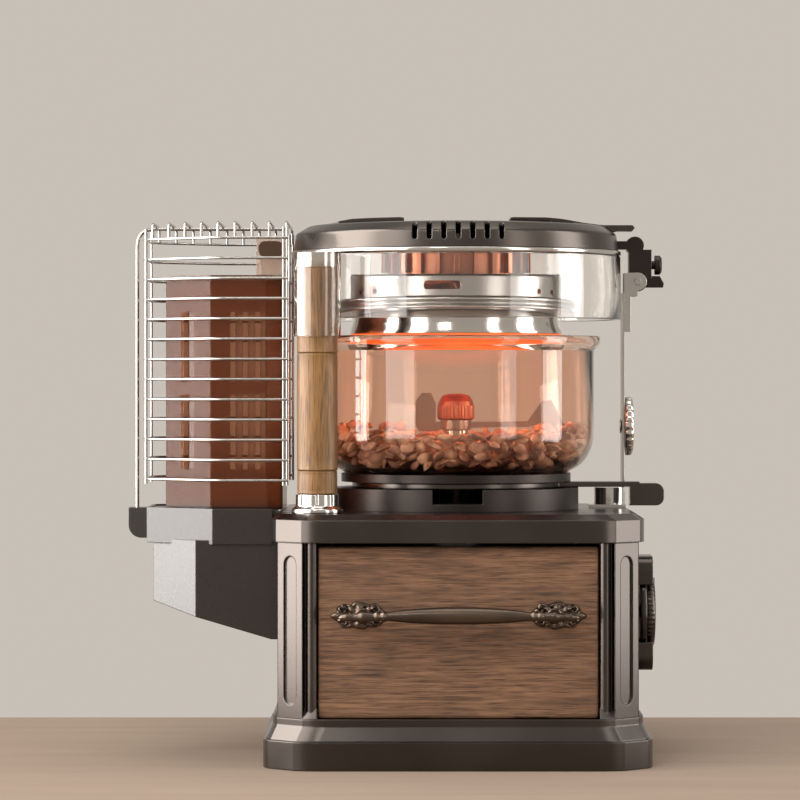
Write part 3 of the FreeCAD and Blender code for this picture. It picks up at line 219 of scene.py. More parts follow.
class Nodes:
    """A material's node tree, with a short way to add and join its nodes."""

    def __init__(self, name):
        old = bpy.data.materials.get(name)
        self.material = old or bpy.data.materials.new(name)
        self.material.use_nodes = True
        self.tree = self.material.node_tree
        self.tree.nodes.clear()
        self.shader = self.add("ShaderNodeBsdfPrincipled")
        output = self.add("ShaderNodeOutputMaterial")
        self.join(self.shader, "BSDF", output, "Surface")
        self.place = self.add("ShaderNodeTexCoord")

    def add(self, kind, **values):
        """A new node, with the values given to its own settings or else to its sockets."""
        node = self.tree.nodes.new(kind)
        for key, value in values.items():
            if hasattr(node, key):
                setattr(node, key, value)
            else:
                node.inputs[key.replace("_", " ")].default_value = value
        return node

    def join(self, source, output, target, socket):
        """Links an output of one node to a socket of another."""
        self.tree.links.new(source.outputs[output], target.inputs[socket])

    def scaled(self, x, y, z):
        """The object's own coordinates, each times its number."""
        mapping = self.add("ShaderNodeMapping")
        mapping.inputs["Scale"].default_value = (x, y, z)
        self.join(self.place, "Object", mapping, "Vector")
        return mapping

    def noise(self, source, scale, detail=4.0, rough=0.55, distortion=0.0):
        """Noise over the coordinates that the source gives."""
        node = self.add("ShaderNodeTexNoise", Scale=scale, Detail=detail, Roughness=rough,
                        Distortion=distortion)
        self.join(source, "Vector" if "Vector" in source.outputs else "Object", node, "Vector")
        return node

    def ramp(self, source, output, stops):
        """Colours from a value, given as pairs of place and colour."""
        node = self.add("ShaderNodeValToRGB")
        band = node.color_ramp
        while len(band.elements) < len(stops):
            band.elements.new(0.5)
        for element, (place, colour) in zip(band.elements, stops):
            element.position = place
            element.color = (*colour, 1) if len(colour) == 3 else colour
        self.join(source, output, node, "Fac")
        return node

    def spread(self, source, output, low, high, from_low=0.3, from_high=0.7):
        """A value stretched from one range to another."""
        node = self.add("ShaderNodeMapRange", From_Min=from_low, From_Max=from_high,
                        To_Min=low, To_Max=high)
        self.join(source, output, node, "Value")
        return node

    def relief(self, source, output, strength, depth, edge=0.0):
        """Bump from a value, over an edge softened by the given radius in metres."""
        bump = self.add("ShaderNodeBump", Strength=strength, Distance=depth)
        self.join(source, output, bump, "Height")
        if edge:
            bevel = self.add("ShaderNodeBevel", samples=6, Radius=edge)
            self.join(bevel, "Normal", bump, "Normal")
        self.join(bump, "Normal", self.shader, "Normal")

    def set(self, **values):
        """Gives values to the main shader's sockets, a colour as three numbers."""
        for key, value in values.items():
            value = (*value, 1) if isinstance(value, tuple) else value
            self.shader.inputs[key.replace("_", " ")].default_value = value


def shade(colour, amount):
    """The colour, lighter or darker by an amount."""
    return tuple(min(1.0, part * amount) for part in colour[:3])


def metal(name, colour, rough, edge=0.0, vary=0.12):
    """Cast or sheet metal: colour and roughness drift slowly, with a fine grain and worn edges."""
    n = Nodes(name)
    n.set(Metallic=1.0)
    slow = n.noise(n.place, 14.0, 3.0)
    fine = n.noise(n.place, 900.0, 2.0)
    tone = n.ramp(slow, "Fac", [(0.3, shade(colour, 1 - vary)), (0.7, shade(colour, 1 + vary))])
    n.join(tone, "Color", n.shader, "Base Color")
    level = n.spread(slow, "Fac", rough * 0.85, rough * 1.2)
    n.join(level, "Result", n.shader, "Roughness")
    n.relief(fine, "Fac", 0.25, 0.00002, edge)


def moulded(name, colour, rough, edge=0.0006, coat=0.0):
    """Moulded plastic or rubber: a fine spark-eroded grain and a slow drift of colour."""
    n = Nodes(name)
    n.set(Metallic=0.0, Coat_Weight=coat, Coat_Roughness=0.15, Specular_IOR_Level=0.5)
    slow = n.noise(n.place, 20.0, 3.0)
    fine = n.noise(n.place, 700.0, 3.0)
    tone = n.ramp(slow, "Fac", [(0.3, shade(colour, 0.9)), (0.7, shade(colour, 1.1))])
    n.join(tone, "Color", n.shader, "Base Color")
    level = n.spread(fine, "Fac", rough * 0.88, rough * 1.12)
    n.join(level, "Result", n.shader, "Roughness")
    n.relief(fine, "Fac", 0.3, 0.00004, edge)


def clear(name, colour, rough=0.015, ior=1.47, transmission=1.0, edge=0.0):
    """Glass or clear plastic, with a faint unevenness in its surface."""
    n = Nodes(name)
    n.set(Base_Color=colour, Metallic=0.0, Roughness=rough, IOR=ior,
          Transmission_Weight=transmission)
    slow = n.noise(n.place, 9.0, 1.0)
    n.relief(slow, "Fac", 0.06, 0.0001, edge)


def wood(name, light, dark, along, lines, bands, rough, depth):
    """Timber: long streaks from noise drawn out along the grain, bent by a slower noise, with
    pores as thin dark dashes. The relief follows the streaks and the pores."""
    n = Nodes(name)
    n.set(Metallic=0.0, Specular_IOR_Level=0.4)

    def drawn(share):
        """Coordinates drawn out along the grain, to this share of their own scale."""
        return n.scaled(*(share if axis == along else 1 for axis in "xyz"))

    streaks = n.noise(drawn(0.055), lines, 6.0, 0.62, 0.35)
    figure = n.noise(drawn(0.2), bands, 3.0, 0.5, 1.2)
    pores = n.noise(drawn(0.03), lines * 4.5, 2.0, 0.4)
    mix = n.add("ShaderNodeMix", data_type="FLOAT", Factor=0.42)
    n.join(streaks, "Fac", mix, "A")
    n.join(figure, "Fac", mix, "B")
    tone = n.ramp(mix, "Result", [(0.34, dark), (0.47, shade(light, 0.72)), (0.56, light),
                                  (0.68, shade(light, 1.22))])
    dash = n.ramp(pores, "Fac", [(0.36, (0.3, 0.3, 0.3)), (0.47, (1, 1, 1))])
    both = n.add("ShaderNodeMix", data_type="RGBA", blend_type="MULTIPLY", Factor=0.8)
    n.join(tone, "Color", both, 6)
    n.join(dash, "Color", both, 7)
    n.join(both, 2, n.shader, "Base Color")
    level = n.spread(streaks, "Fac", rough * 1.15, rough * 0.85)
    n.join(level, "Result", n.shader, "Roughness")
    lift = n.add("ShaderNodeMath", operation="ADD")
    n.join(streaks, "Fac", lift, 0)
    n.join(dash, "Color", lift, 1)
    n.relief(lift, "Value", 0.55, depth, 0.0005)


# Settings

def colour_setting(name, description, default):
    """A colour as linear shares of red, green and blue."""
    return bpy.props.FloatVectorProperty(name=name, description=description, subtype="COLOR",
                                         size=3, min=0, max=1, default=default)


def length_setting(name, description, default, low, high):
    """A length with its default and its limits in millimetres."""
    return bpy.props.FloatProperty(name=name, description=description, default=default * MM,
                                   min=low * MM, max=high * MM, unit="LENGTH", precision=4)


def power_setting(name, description, default):
    """The power of a lamp in watts."""
    return bpy.props.FloatProperty(name=name, description=description, default=default, min=0,
                                   max=200, subtype="POWER", unit="POWER")


class RoasterColours(bpy.types.PropertyGroup):
    """Colours of the roaster's finishes."""

    cabinet: colour_setting("Cabinet metal", "Posts, plinth and deck", (0.07, 0.061, 0.056))
    side: colour_setting("Side metal", "Side and rear panels", (0.075, 0.068, 0.063))
    lid: colour_setting("Lid metal", "Top of the lid and its wings", (0.075, 0.065, 0.058))
    bright: colour_setting("Bright metal", "Polished wires, rings and stay", (0.78, 0.75, 0.71))
    bracket: colour_setting("Chaff bracket", "Moulded bracket of the collector",
                            (0.02, 0.014, 0.012))
    drawer: colour_setting("Drawer wood", "Lighter streaks of the drawer's front",
                           (0.24, 0.122, 0.064))
    drawer_dark: colour_setting("Drawer wood, dark", "Darker streaks of the drawer's front",
                                (0.07, 0.036, 0.021))
    pillar: colour_setting("Pillar wood", "Lighter streaks of the pillar", (0.32, 0.165, 0.056))
    pillar_dark: colour_setting("Pillar wood, dark", "Darker streaks of the pillar",
                                (0.26, 0.13, 0.042))
    amber: colour_setting("Chaff box", "Tinted plastic of the chaff box", (0.42, 0.2, 0.115))
    # Partly painted glow: the pot's warm tint is partly the glass's own and partly stands in for
    # the heater's orange light inside the pot.
    glass: colour_setting("Pot glass", "Tint of the pot", (0.93, 0.7, 0.58))
    # Painted light: the beans' own roasted brown, lightened well past it to stand in for light that
    # the glass pot keeps off them.
    bean: colour_setting("Beans", "Roasted coffee beans", (0.56, 0.41, 0.34))
    glow: colour_setting("Heater glow", "Light of the element", (1.0, 0.16, 0.03))


class RoasterSizes(bpy.types.PropertyGroup):
    """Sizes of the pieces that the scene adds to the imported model."""

    wire: length_setting("Cage wire", "Radius of the cage's wires", 0.85, 0.5, 1.2)
    bean_length: length_setting("Bean length", "Length of a roasted bean", 10.8, 7, 14)
    bean_count: bpy.props.IntProperty(name="Beans", description="Beans in the pot", min=50,
                                      max=2000, default=1400)
    grain_depth: length_setting("Grain depth", "Relief of the drawer front's grain", 0.35, 0, 1)
    glow_strength: bpy.props.FloatProperty(name="Glow", description="Strength of the element",
                                           min=0, max=60, default=0.95)


class RoasterStageSettings(bpy.types.PropertyGroup):
    """Colours of the stage and the power of its lamps."""

    wall: colour_setting("Wall", "Plain colour behind the roaster", (0.58, 0.53, 0.475))
    table: colour_setting("Table", "Plain colour of the floor", (0.42, 0.325, 0.255))
    key: power_setting("Key lamp", "Large soft lamp at the left, on matt surfaces", 13)
    fill: power_setting("Fill lamp", "Soft lamp at the right, on matt surfaces", 4)
    front: power_setting("Front lamp", "Soft lamp over the camera, on matt surfaces", 18)
    warm: power_setting("Warm light", "Light of the element on the pot", 0.4)
    card_left: power_setting("Left card", "Seen in gloss at the left", 34)
    card_right: power_setting("Right card", "Seen in gloss at the right", 5.0)
    front_card: power_setting("Front card", "Small light seen in rounded fronts", 2.0)
    window: power_setting("Windows", "Tall lights seen in the glass", 11)
    top: power_setting("Top lamp", "Soft lamp above", 6)
    room: bpy.props.FloatProperty(name="Room light", description="Even light from all round",
                                  min=0, max=2, default=0.42)


class ROASTER_OT_finishes(bpy.types.Operator):
    """Makes every finish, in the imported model's own material slots, so that each node has one."""

    bl_idname = "roaster.finishes"
    bl_label = "Finishes"

    def execute(self, context):
        colours = context.scene.roaster_colours
        metal("gunmetal", colours.cabinet, 0.24, edge=0.0011)
        metal("side_metal", colours.side, 0.34, edge=0.0009)
        metal("dark_lid", colours.lid, 0.27, edge=0.001)
        metal("steel", shade(colours.bright, 0.58), 0.3, edge=0.0004)
        metal("wire", shade(colours.bright, 0.5), 0.25)
        metal("chrome", shade(colours.bright, 0.72), 0.12, edge=0.0004, vary=0.04)
        metal("dark_steel", (0.04, 0.034, 0.031), 0.38, edge=0.0008)
        metal("bronze", (0.1, 0.076, 0.06), 0.3, edge=0.0004, vary=0.45)
        metal("copper", (0.56, 0.23, 0.14), 0.42, edge=0.0004)
        metal("fan_metal", (0.4, 0.38, 0.36), 0.35, edge=0.0004)
        moulded("rubber", (0.02, 0.02, 0.02), 0.75)
        moulded("black_plastic", (0.03, 0.027, 0.025), 0.36)
        moulded("board", (0.02, 0.09, 0.04), 0.5)
        moulded("bracket_plastic", colours.bracket, 0.3, edge=0.001, coat=0.15)
        wood("drawer_wood", colours.drawer, colours.drawer_dark, "x", 520.0, 95.0, 0.62, 0.0004)
        wood("pillar_wood", colours.pillar, colours.pillar_dark, "z", 420.0, 120.0, 0.42, 0.00008)
        clear("clear_glass", (1.0, 0.985, 0.97))
        # The pot glass's warm tint is partly painted glow from the heater.
        clear("pot_glass", tuple(colours.glass))
        clear("amber", tuple(colours.amber), 0.22, ior=1.24, transmission=0.93, edge=0.0006)
        clear("amber_dark", shade(colours.amber, 0.5), 0.2, transmission=0.6, edge=0.0006)
        clear("duct_plastic", (0.86, 0.72, 0.62), 0.2, transmission=0.8, edge=0.0006)
        for node, finish in (("exhaust_duct", "duct_plastic"), ("hinge_bracket", "steel"),
                             ("seat_ring", "dark_steel"), ("lock_lever", "dark_lid")):
            frame["nodes"][node].data.materials[0] = bpy.data.materials[finish]
        self.glowing("heater", colours.glow, context.scene.roaster_sizes.glow_strength)
        self.roasted("bean", colours.bean)
        return {"FINISHED"}

    def glowing(self, name, colour, strength):
        """Hot metal: its light comes in brighter and dimmer stretches round the element."""
        n = Nodes(name)
        n.set(Roughness=0.5, Emission_Strength=strength)
        slow = n.noise(n.place, 26.0, 2.0)
        tone = n.ramp(slow, "Fac", [(0.3, shade(colour, 0.6)), (0.6, tuple(colour))])
        n.join(tone, "Color", n.shader, "Base Color")
        n.join(tone, "Color", n.shader, "Emission Color")
        n.relief(slow, "Fac", 0.2, 0.00005)

    def roasted(self, name, colour):
        """Bean skin: each patch is a little lighter or darker, with fine wrinkles and some oil."""
        n = Nodes(name)
        n.set(Specular_IOR_Level=0.55, Coat_Weight=0.22, Coat_Roughness=0.28)
        patches = n.noise(n.place, 95.0, 2.0)
        wrinkles = n.noise(n.place, 900.0, 3.0)
        # These patches are built on the bean colour, which is lightened as painted light.
        tone = n.ramp(patches, "Fac", [(0.3, shade(colour, 0.5)), (0.5, tuple(colour)),
                                       (0.72, shade(colour, 2.3))])
        n.join(tone, "Color", n.shader, "Base Color")
        level = n.spread(patches, "Fac", 0.34, 0.52)
        n.join(level, "Result", n.shader, "Roughness")
        n.relief(wrinkles, "Fac", 0.4, 0.00018)


# Drawer

front_low, front_high = (np.array(corner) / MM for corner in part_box("drawer_front"))
handle_level, handle_y = 91.0, -123.0
stand_x, rosette_x, rosette_y = 56.5, 58.3, -104.0


class ROASTER_OT_drawer_front(bpy.types.Operator):
    """The drawer's board. Rings of a rounded rectangle in Y and Z stand side by side along X, and
    the front of each ring is drawn back by long ridges: sums of sines of Z whose phase drifts
    slowly with X, so that the ridges run across the board like weathered grain."""

    bl_idname = "roaster.drawer_front"
    bl_label = "Drawer front"

    def execute(self, context):
        depth = context.scene.roaster_sizes.grain_depth / MM
        x = np.concatenate([front_low[0] + np.array([0, 0.25, 0.7]),
                            np.linspace(front_low[0] + 1.2, front_high[0] - 1.2, 150),
                            front_high[0] - np.array([0.7, 0.25, 0])])
        draw_in = np.interp(np.minimum(x - front_low[0], front_high[0] - x),
                            [0, 0.25, 0.7, 1.2], [1.0, 0.45, 0.1, 0])
        z = np.linspace(front_low[2] + 1.0, front_high[2] - 1.0, 200)
        corners = np.array([(front_low[1] + 1.0, front_high[2]), (front_high[1], front_high[2]),
                            (front_high[1], front_low[2]), (front_low[1] + 1.0, front_low[2])])
        front = np.stack([np.full(len(z), front_low[1]), z], 1)
        ring = np.concatenate([front, corners])
        middle = (front_low[1:] + front_high[1:]) / 2
        spread = ring[None] + (middle - ring)[None] * (draw_in / 50)[:, None, None]
        across, up = np.meshgrid(x, z, indexing="ij")
        ridge = (np.sin(up * 1.9 + 1.7 * np.sin(across / 61 + up / 23) + 0.6 * np.sin(across / 9))
                 + 0.7 * np.sin(up * 4.3 + 2.3 * np.sin(across / 37 + up / 11))
                 + 0.5 * np.sin(up * 7.9 + 1.9 * np.sin(across / 19 - up / 7)))
        back = depth * (0.5 - ridge / 4.4) + draw_in[:, None] * 0.8
        spread[:, :len(z), 0] += back
        grid = np.concatenate([np.broadcast_to(x[:, None, None], spread.shape[:2] + (1,)),
                               spread], -1)
        piece("drawer_board", [skin(grid)], "drawer", ["drawer_front"], sharp=50)
        return {"FINISHED"}


class ROASTER_OT_handle(bpy.types.Operator):
    """The handle: a bar of changing radius carried along a shallow bow, with beads at its necks,
    two stands, and two scrolled rosettes."""

    bl_idname = "roaster.handle"
    bl_label = "Handle and rosettes"

    def execute(self, context):
        x = np.linspace(-70.5, 70.5, 260)
        away = np.abs(x)
        places = [0, 10, 20, 30, 38, 42, 44, 46, 48, 50, 54, 56.5, 59, 62, 66, 69, 70.5]
        widths = [5.2, 5.1, 4.7, 4.0, 3.1, 2.5, 3.4, 2.4, 3.3, 2.4, 2.9, 3.4, 2.6, 2.0, 2.5, 1.6,
                  0.3]
        radius = np.interp(away, places, widths)
        path = np.stack([x, handle_y + 0.5 * (away / 70) ** 2,
                         handle_level + 0.9 * (1 - (away / 62) ** 2).clip(-0.5)], 1)
        parts = [carried(path, radius, sides=28)]
        stand = [(0.2, -108.2), (4.6, -108.2), (4.9, -109.4), (3.7, -110.4), (3.0, -112.5),
                 (2.7, -115), (3.1, -118), (3.4, -121), (2.2, -124.4), (0.2, -125.2)]
        for side in (-1, 1):
            parts.append(turned(rounded(stand, 0.7, 3, False), (side * stand_x, 0, handle_level),
                                "y", 32, wrap=False))
        piece("handle", parts, "drawer", ["handle_bar"])
        piece("rosettes", [self.rosette(side) for side in (-1, 1)], "drawer",
              ["handle_rosettes"], sharp=60)
        return {"FINISHED"}

    def rosette(self, side):
        """A plate whose rim radius is 1 + 0.1 cos 2a + 0.075 cos(8a + 0.5) + 0.03 cos 14a, and
        whose relief, over the share s of that radius, is a boss, eight petals and four scrolls."""
        s = np.linspace(0.02, 1, 44)[:, None]
        a = circle(176)[None]
        rim = 1 + 0.1 * np.cos(2 * a) + 0.075 * np.cos(8 * a + 0.5) + 0.03 * np.cos(14 * a)
        x = 14.6 * s * rim * np.cos(a)
        z = 8.6 * s * rim * np.sin(a)
        boss = 1.5 * np.exp(-((x ** 2 + z ** 2) / 16))
        petals = 0.75 * np.cos(8 * a) * np.exp(-((s - 0.55) / 0.2) ** 2)
        height = 1.9 + boss + petals
        for end, size in ((1, 3.6), (-1, 3.0)):
            for lift in (1, -1):
                dx, dz = x - end * 9.4, z - lift * 4.3
                r = np.hypot(dx, dz)
                turn = np.arctan2(dz * lift, dx * end)
                scroll = np.cos(turn - r * 2.1)
                height = height + 1.25 * scroll * np.exp(-(r / size) ** 2)
        edge = np.interp(s, [0, 0.86, 0.95, 1], [1, 1, 0.7, 0.12])
        height = (height * edge).clip(0.25, 3.7)
        front = np.stack([np.broadcast_to(x, height.shape), rosette_y - height,
                          np.broadcast_to(z, height.shape)], -1)
        rear = front[-1:].copy()
        rear[..., 1] = rosette_y + 0.1
        points, faces = skin(np.concatenate([front, rear], 0))
        return points * (side, 1, 1) + (side * rosette_x, 0, handle_level), faces


# Pot, stirrer and beans

pot_radius, pot_floor, pot_wall, pot_hub = 85.0, 172.8, 2.6, 6.5
pot_corner = (21.0, 25.0)


def pot_side(offset):
    """The pot's corner, an offset inside its outline: 21 sin a outwards and 25 (1 - cos a) up."""
    across, up = pot_corner
    a = np.radians(np.linspace(0, 90, 15))
    return np.stack([pot_radius - offset - across + across * np.sin(a),
                     pot_floor + offset + (up - offset) * (1 - np.cos(a))], 1)


class ROASTER_OT_pot(bpy.types.Operator):
    """The glass pot as one closed profile, turned: floor, rounded corner, wall and rolled lip."""

    bl_idname = "roaster.pot"
    bl_label = "Glass pot"

    def execute(self, context):
        lip = rounded([(pot_radius, 248), (88.6, 251.6), (89, 254), (88.9, 257), (83.6, 257),
                       (pot_radius - pot_wall, 254)], 1.4, 4, False)
        outline = np.concatenate([[(pot_hub, pot_floor)], pot_side(0), lip,
                                  pot_side(pot_wall)[::-1], [(pot_hub, pot_floor + pot_wall)]])
        piece("pot", [turned(outline, steps=192)], "root", ["glass_pot"])
        return {"FINISHED"}


shaft_reach = 4.16


class ROASTER_OT_stirrer(bpy.types.Operator):
    """The stirrer's turned column with ribs, and its domed cap with a knurled side."""

    bl_idname = "roaster.stirrer"
    bl_label = "Stirrer"

    def execute(self, context):
        column = rounded([(shaft_reach, 177), (8.9, 177), (8.9, 179.4), (7.2, 180.2), (7.2, 184),
                          (7.7, 184.6), (7.7, 188), (7.1, 188.6), (7.1, 192), (7.7, 192.6),
                          (7.7, 198.9), (shaft_reach, 198.9)], 0.4, 3)
        piece("column", [turned(column, steps=96)], "stirrer", ["stirrer_column"])
        cap = rounded([(shaft_reach, 204.3), (10.4, 204.3), (11.4, 205.2), (11.4, 211.6),
                       (10.8, 213), (10.4, 214.6), (8.2, 217.3), (4.6, 218.2), (POLE, 218.2),
                       (POLE, 208.3), (shaft_reach, 208.3)], 0.5, 3)
        angle = circle(144)
        side = cap[:, 0, None] > 11.2
        flutes = side * 0.32 * (0.5 - 0.5 * np.cos(36 * angle))
        piece("cap", [skin(rings(cap, angle, flutes), wrap_rows=True)], "stirrer",
              ["stirrer_cap"])
        return {"FINISHED"}


class ROASTER_OT_beans(bpy.types.Operator):
    """Coffee beans, heaped higher at the wall. A bean is an ellipsoid (cos v, sin v cos u,
    sin v sin u) whose lower half is pressed to 0.3 of its height, with a groove
    0.32 exp(-(y / 0.2)^2) (1 - x^2) along it. Places come from a sunflower spiral,
    r = 14 + 65.5 sqrt(i / n) and a = i times the golden angle, in layers under the heap."""

    bl_idname = "roaster.beans"
    bl_label = "Coffee beans"

    def execute(self, context):
        sizes = context.scene.roaster_sizes
        length = sizes.bean_length / MM / 2
        chance = np.random.default_rng(7)
        v = np.linspace(0.14, HALF_TURN - 0.14, 6)[:, None]
        u = circle(10)[None]
        x, y, z = np.cos(v) + 0 * u, np.sin(v) * np.cos(u), np.sin(v) * np.sin(u)
        flat = np.where(z < 0, z * 0.3 + 0.32 * np.exp(-(y / 0.2) ** 2) * (1 - x ** 2), z)
        bean, faces = skin(np.stack([x, y * 0.7, flat * 0.52], -1))
        rows = []
        layers = 5
        share = sizes.bean_count // layers
        for layer in range(layers):
            i = np.arange(share) + 0.5
            radius = (14.0 + 65.5 * np.sqrt(i / share)) * (0.997 if layer % 2 else 1)
            angle = i * GOLDEN_ANGLE + layer * 1.1
            radius = radius + chance.uniform(-1.5, 1.5, share)
            level = 179.0 + layer * 5.2 + chance.uniform(-1.1, 1.1, share)
            edge = np.interp(level, [177, 180, 184, 190, 198], [64, 70, 73.5, 76.3, 77.2])
            keep = (level < 177.9 + self.heap(radius, angle)) & (radius < edge)
            rows.append(np.stack([radius * np.cos(angle), radius * np.sin(angle), level,
                                  chance.uniform(0, FULL_TURN, share)], 1)[keep])
        place = np.concatenate(rows)
        count = len(place)
        tilt = chance.uniform(-0.5, 0.5, count)
        roll = chance.normal(0, 0.9, count) + np.where(chance.random(count) < 0.35, HALF_TURN, 0)
        turn = place[:, 3]
        size = length * chance.uniform(0.86, 1.06, count)
        c, s, one, none = np.cos, np.sin, np.ones(count), np.zeros(count)

        about_z = np.array([[c(turn), -s(turn), none], [s(turn), c(turn), none],
                            [none, none, one]])
        about_y = np.array([[c(tilt), none, s(tilt)], [none, one, none],
                            [-s(tilt), none, c(tilt)]])
        about_x = np.array([[one, none, none], [none, c(roll), -s(roll)],
                            [none, s(roll), c(roll)]])
        spin = (about_z.transpose(2, 0, 1) @ about_y.transpose(2, 0, 1)
                @ about_x.transpose(2, 0, 1))
        points = np.einsum("nij,kj->nki", spin, bean) * size[:, None, None] + place[:, None, :3]
        shifted = faces[None] + (np.arange(count) * len(bean))[:, None, None]
        piece("beans", [(points.reshape(-1, 3), shifted.reshape(-1, 4))], "stirrer",
              finish="bean", sharp=70)
        return {"FINISHED"}

    def heap(self, radius, angle):
        """The heap's height over the floor: a bowl, higher at both sides than at the front."""
        return 9 + 15.5 * (radius / 78) ** 2 * (0.75 + 0.45 * np.cos(angle) ** 2)


# Pillar and stay

class ROASTER_OT_pillar(bpy.types.Operator):
    """The pillar: three turned lengths of wood with eased ends, a chrome foot with upright
    notches, a top ring, and the clear sleeve."""

    bl_idname = "roaster.pillar"
    bl_label = "Pillar"

    def execute(self, context):
        centre = (-83.8, -82.0, 0)
        wood_top, ring_top, radius = 297, 306, 12.25
        bow = 0.12 * np.sin(np.linspace(0, HALF_TURN, 12))
        parts = []
        for low, high, reach in ((162.05, 176, 11.95), (176, 246, radius),
                                 (246, wood_top, radius)):
            foot_end = [(reach - 1.0, low + 0.02), (reach - 0.25, low + 0.25), (reach, low + 0.9)]
            top_end = [(reach, high - 0.9), (reach - 0.25, high - 0.25),
                       (reach - 1.0, high - 0.02)]
            middle = np.stack([reach - 0.12 + bow, np.linspace(low + 1.2, high - 1.2, 12)], 1)
            parts.append(turned(np.concatenate([foot_end, middle, top_end]), centre, steps=96,
                                wrap=False))
        piece("pillar", parts, "root", ["pillar_segments"])
        foot = rounded([(POLE, 150.6), (15.3, 150.6), (15.3, 153.0), (13.6, 154.4), (12.9, 155.2),
                        (12.8, 161.9), (POLE, 161.9)], 0.6, 3, False)
        angle = circle(240)
        notch = 0.0
        for at in (-2.35, -1.57, -0.8, 0.8, 1.57, 2.35):
            notch = notch + np.exp(-((angle - at % FULL_TURN) / 0.055) ** 4)
        notch = notch * ((foot[:, 1] > 155.4) & (foot[:, 1] < 161.8) & (foot[:, 0] > 12))[:, None]
        ring = rounded([(POLE, wood_top), (radius, wood_top), (radius, ring_top),
                        (POLE, ring_top)], 0.5, 3, False)
        piece("pillar_foot", [skin(rings(foot, angle, 1.1 * notch) + centre),
                              turned(ring, centre, steps=96, wrap=False)],
              "root", ["pillar_rings"])
        sleeve = rounded([(12.4, 256), (14, 256), (14, ring_top), (12.4, ring_top)], 0.4, 3)
        piece("sleeve", [turned(sleeve, centre, steps=96)], "root", ["pillar_sleeve"])
        return {"FINISHED"}


class ROASTER_OT_stay_knob(bpy.types.Operator):
    """The stay's round knob: a turned outline whose rim is scalloped, 0.35 (1 - cos 24 a) deep."""

    bl_idname = "roaster.stay_knob"
    bl_label = "Stay knob"

    def execute(self, context):
        outline = rounded([(POLE, 102.2), (4.4, 102.2), (4.4, 103.0), (3.0, 103.1), (3.0, 105.1),
                           (17.2, 105.1), (18.2, 106.0), (18.2, 109.0), (16.9, 110.2),
                           (12.5, 110.3), (11.6, 109.5), (7.6, 109.5), (6.8, 110.7),
                           (POLE, 110.8)], 0.4, 3, False)
        angle, centre = circle(192), (0, 22.0, 201.3)
        rim = np.interp(outline[:, 0], [16.8, 18], [0, 1])[:, None]
        scallops = rim * 0.35 * (1 - np.cos(24 * angle))
        piece("knob_on_stay", [skin(rings(outline, angle, scallops, "x") + centre)],
              "stay_clamp", ["stay_knob"])
        return {"FINISHED"}


class ROASTER_OT_control_knob(bpy.types.Operator):
    """The control knob: a plain skirt and spindle, and a cap with fine flutes round its side."""

    bl_idname = "roaster.control_knob"
    bl_label = "Control knob"

    def execute(self, context):
        centre = (0, 0, 87.0)
        skirt = rounded([(POLE, 88.5), (3.0, 88.5), (3.0, 112.7), (24.4, 112.7), (25, 113.3),
                         (25, 116.0), (24.3, 116.7), (POLE, 116.7)], 0.3, 3, False)
        piece("knob_base", [turned(skirt, centre, "x", 160, wrap=False)], "control_knob",
              ["knob_skirt"])
        cap = rounded([(POLE, 116.75), (22.4, 116.75), (22.4, 120.2), (20.4, 122.0), (17.6, 122.2),
                       (16.6, 121.5), (13.2, 121.7), (6.0, 122.9), (POLE, 123.4)], 0.7, 3, False)
        angle = circle(240)
        rim = np.interp(cap[:, 0], [21.6, 22.3], [0, 1])[:, None]
        flutes = rim * 0.28 * (1 - np.cos(48 * angle))
        pointer = block((121.4, 122.6), (-0.9, 0.9), (99, 108), 0.35)
        piece("knob_top", [skin(rings(cap, angle, flutes, "x") + centre), pointer],
              "control_knob", ["knob_cap"])
        return {"FINISHED"}


# Lid and heater

def pierced(thing, parts):
    """Cuts the parts out of the thing for good."""
    tool = placed("cutter", mesh_of("cutter", parts))
    change = thing.modifiers.new("holes", "BOOLEAN")
    change.operation, change.solver, change.object = "DIFFERENCE", "EXACT", tool
    bpy.context.view_layer.update()
    whole = thing.evaluated_get(bpy.context.evaluated_depsgraph_get())
    cut = bpy.data.meshes.new_from_object(whole)
    thing.modifiers.remove(change)
    thing.data = cut
    cut.set_sharp_from_angle(angle=math.radians(SMOOTH_ANGLE))
    bpy.data.objects.remove(tool)


class ROASTER_OT_lid(bpy.types.Operator):
    """The lid's bright rim, and its glass skirt: closed outlines, turned. Its top is a turned
    sheet with seven upright slots, each a rounded box cut through the wall and the chamfer."""

    bl_idname = "roaster.lid"
    bl_label = "Lid"

    def execute(self, context):
        rim = rounded([(97.75, 306.05), (101.2, 306.05), (101.85, 307.2), (101.6, 308.9),
                       (97.75, 308.9)], 0.6, 4)
        piece("rim", [turned(rim, steps=256)], "lid", ["lid_rim"])
        skirt = rounded([(98.5, 267), (101.5, 267), (101.5, 305.95), (98.5, 305.95)], 0.9, 4)
        piece("skirt", [turned(skirt, steps=256)], "lid", ["lid_skirt"])
        base, (edge, edge_level), crown, thickness = 309.05, (90.7, 324.4), 3.1, 1.6
        share = np.linspace(0, 1, 12)[1:]
        wall = rounded([(100, base), (98.8, 319.5), (edge, edge_level), (84, 325.2)], 1.6, 5,
                       False)
        dome = np.stack([edge * (1 - share), edge_level + crown * (1 - (1 - share) ** 2)], 1)
        outer = np.concatenate([wall[:-1], dome[1:]])
        outer[-1, 0] = POLE
        inner = outer[::-1] - np.array([0.0, thickness])
        inner[:, 0] = (inner[:, 0] - 1.5 * np.interp(inner[:, 0], [60, 95], [0, 1])).clip(POLE)
        inner[-1, 1] = base
        top = piece("lid_top", [turned(np.concatenate([outer, inner]), steps=256)], "lid",
                    ["lid_shell"], sharp=24)
        pitch, half = 8.6, 1.5
        pierced(top, [block((n * pitch - half, n * pitch + half), (-104, -88), (313.6, 326), 1.2,
                            4) for n in range(-3, 4)])
        return {"FINISHED"}


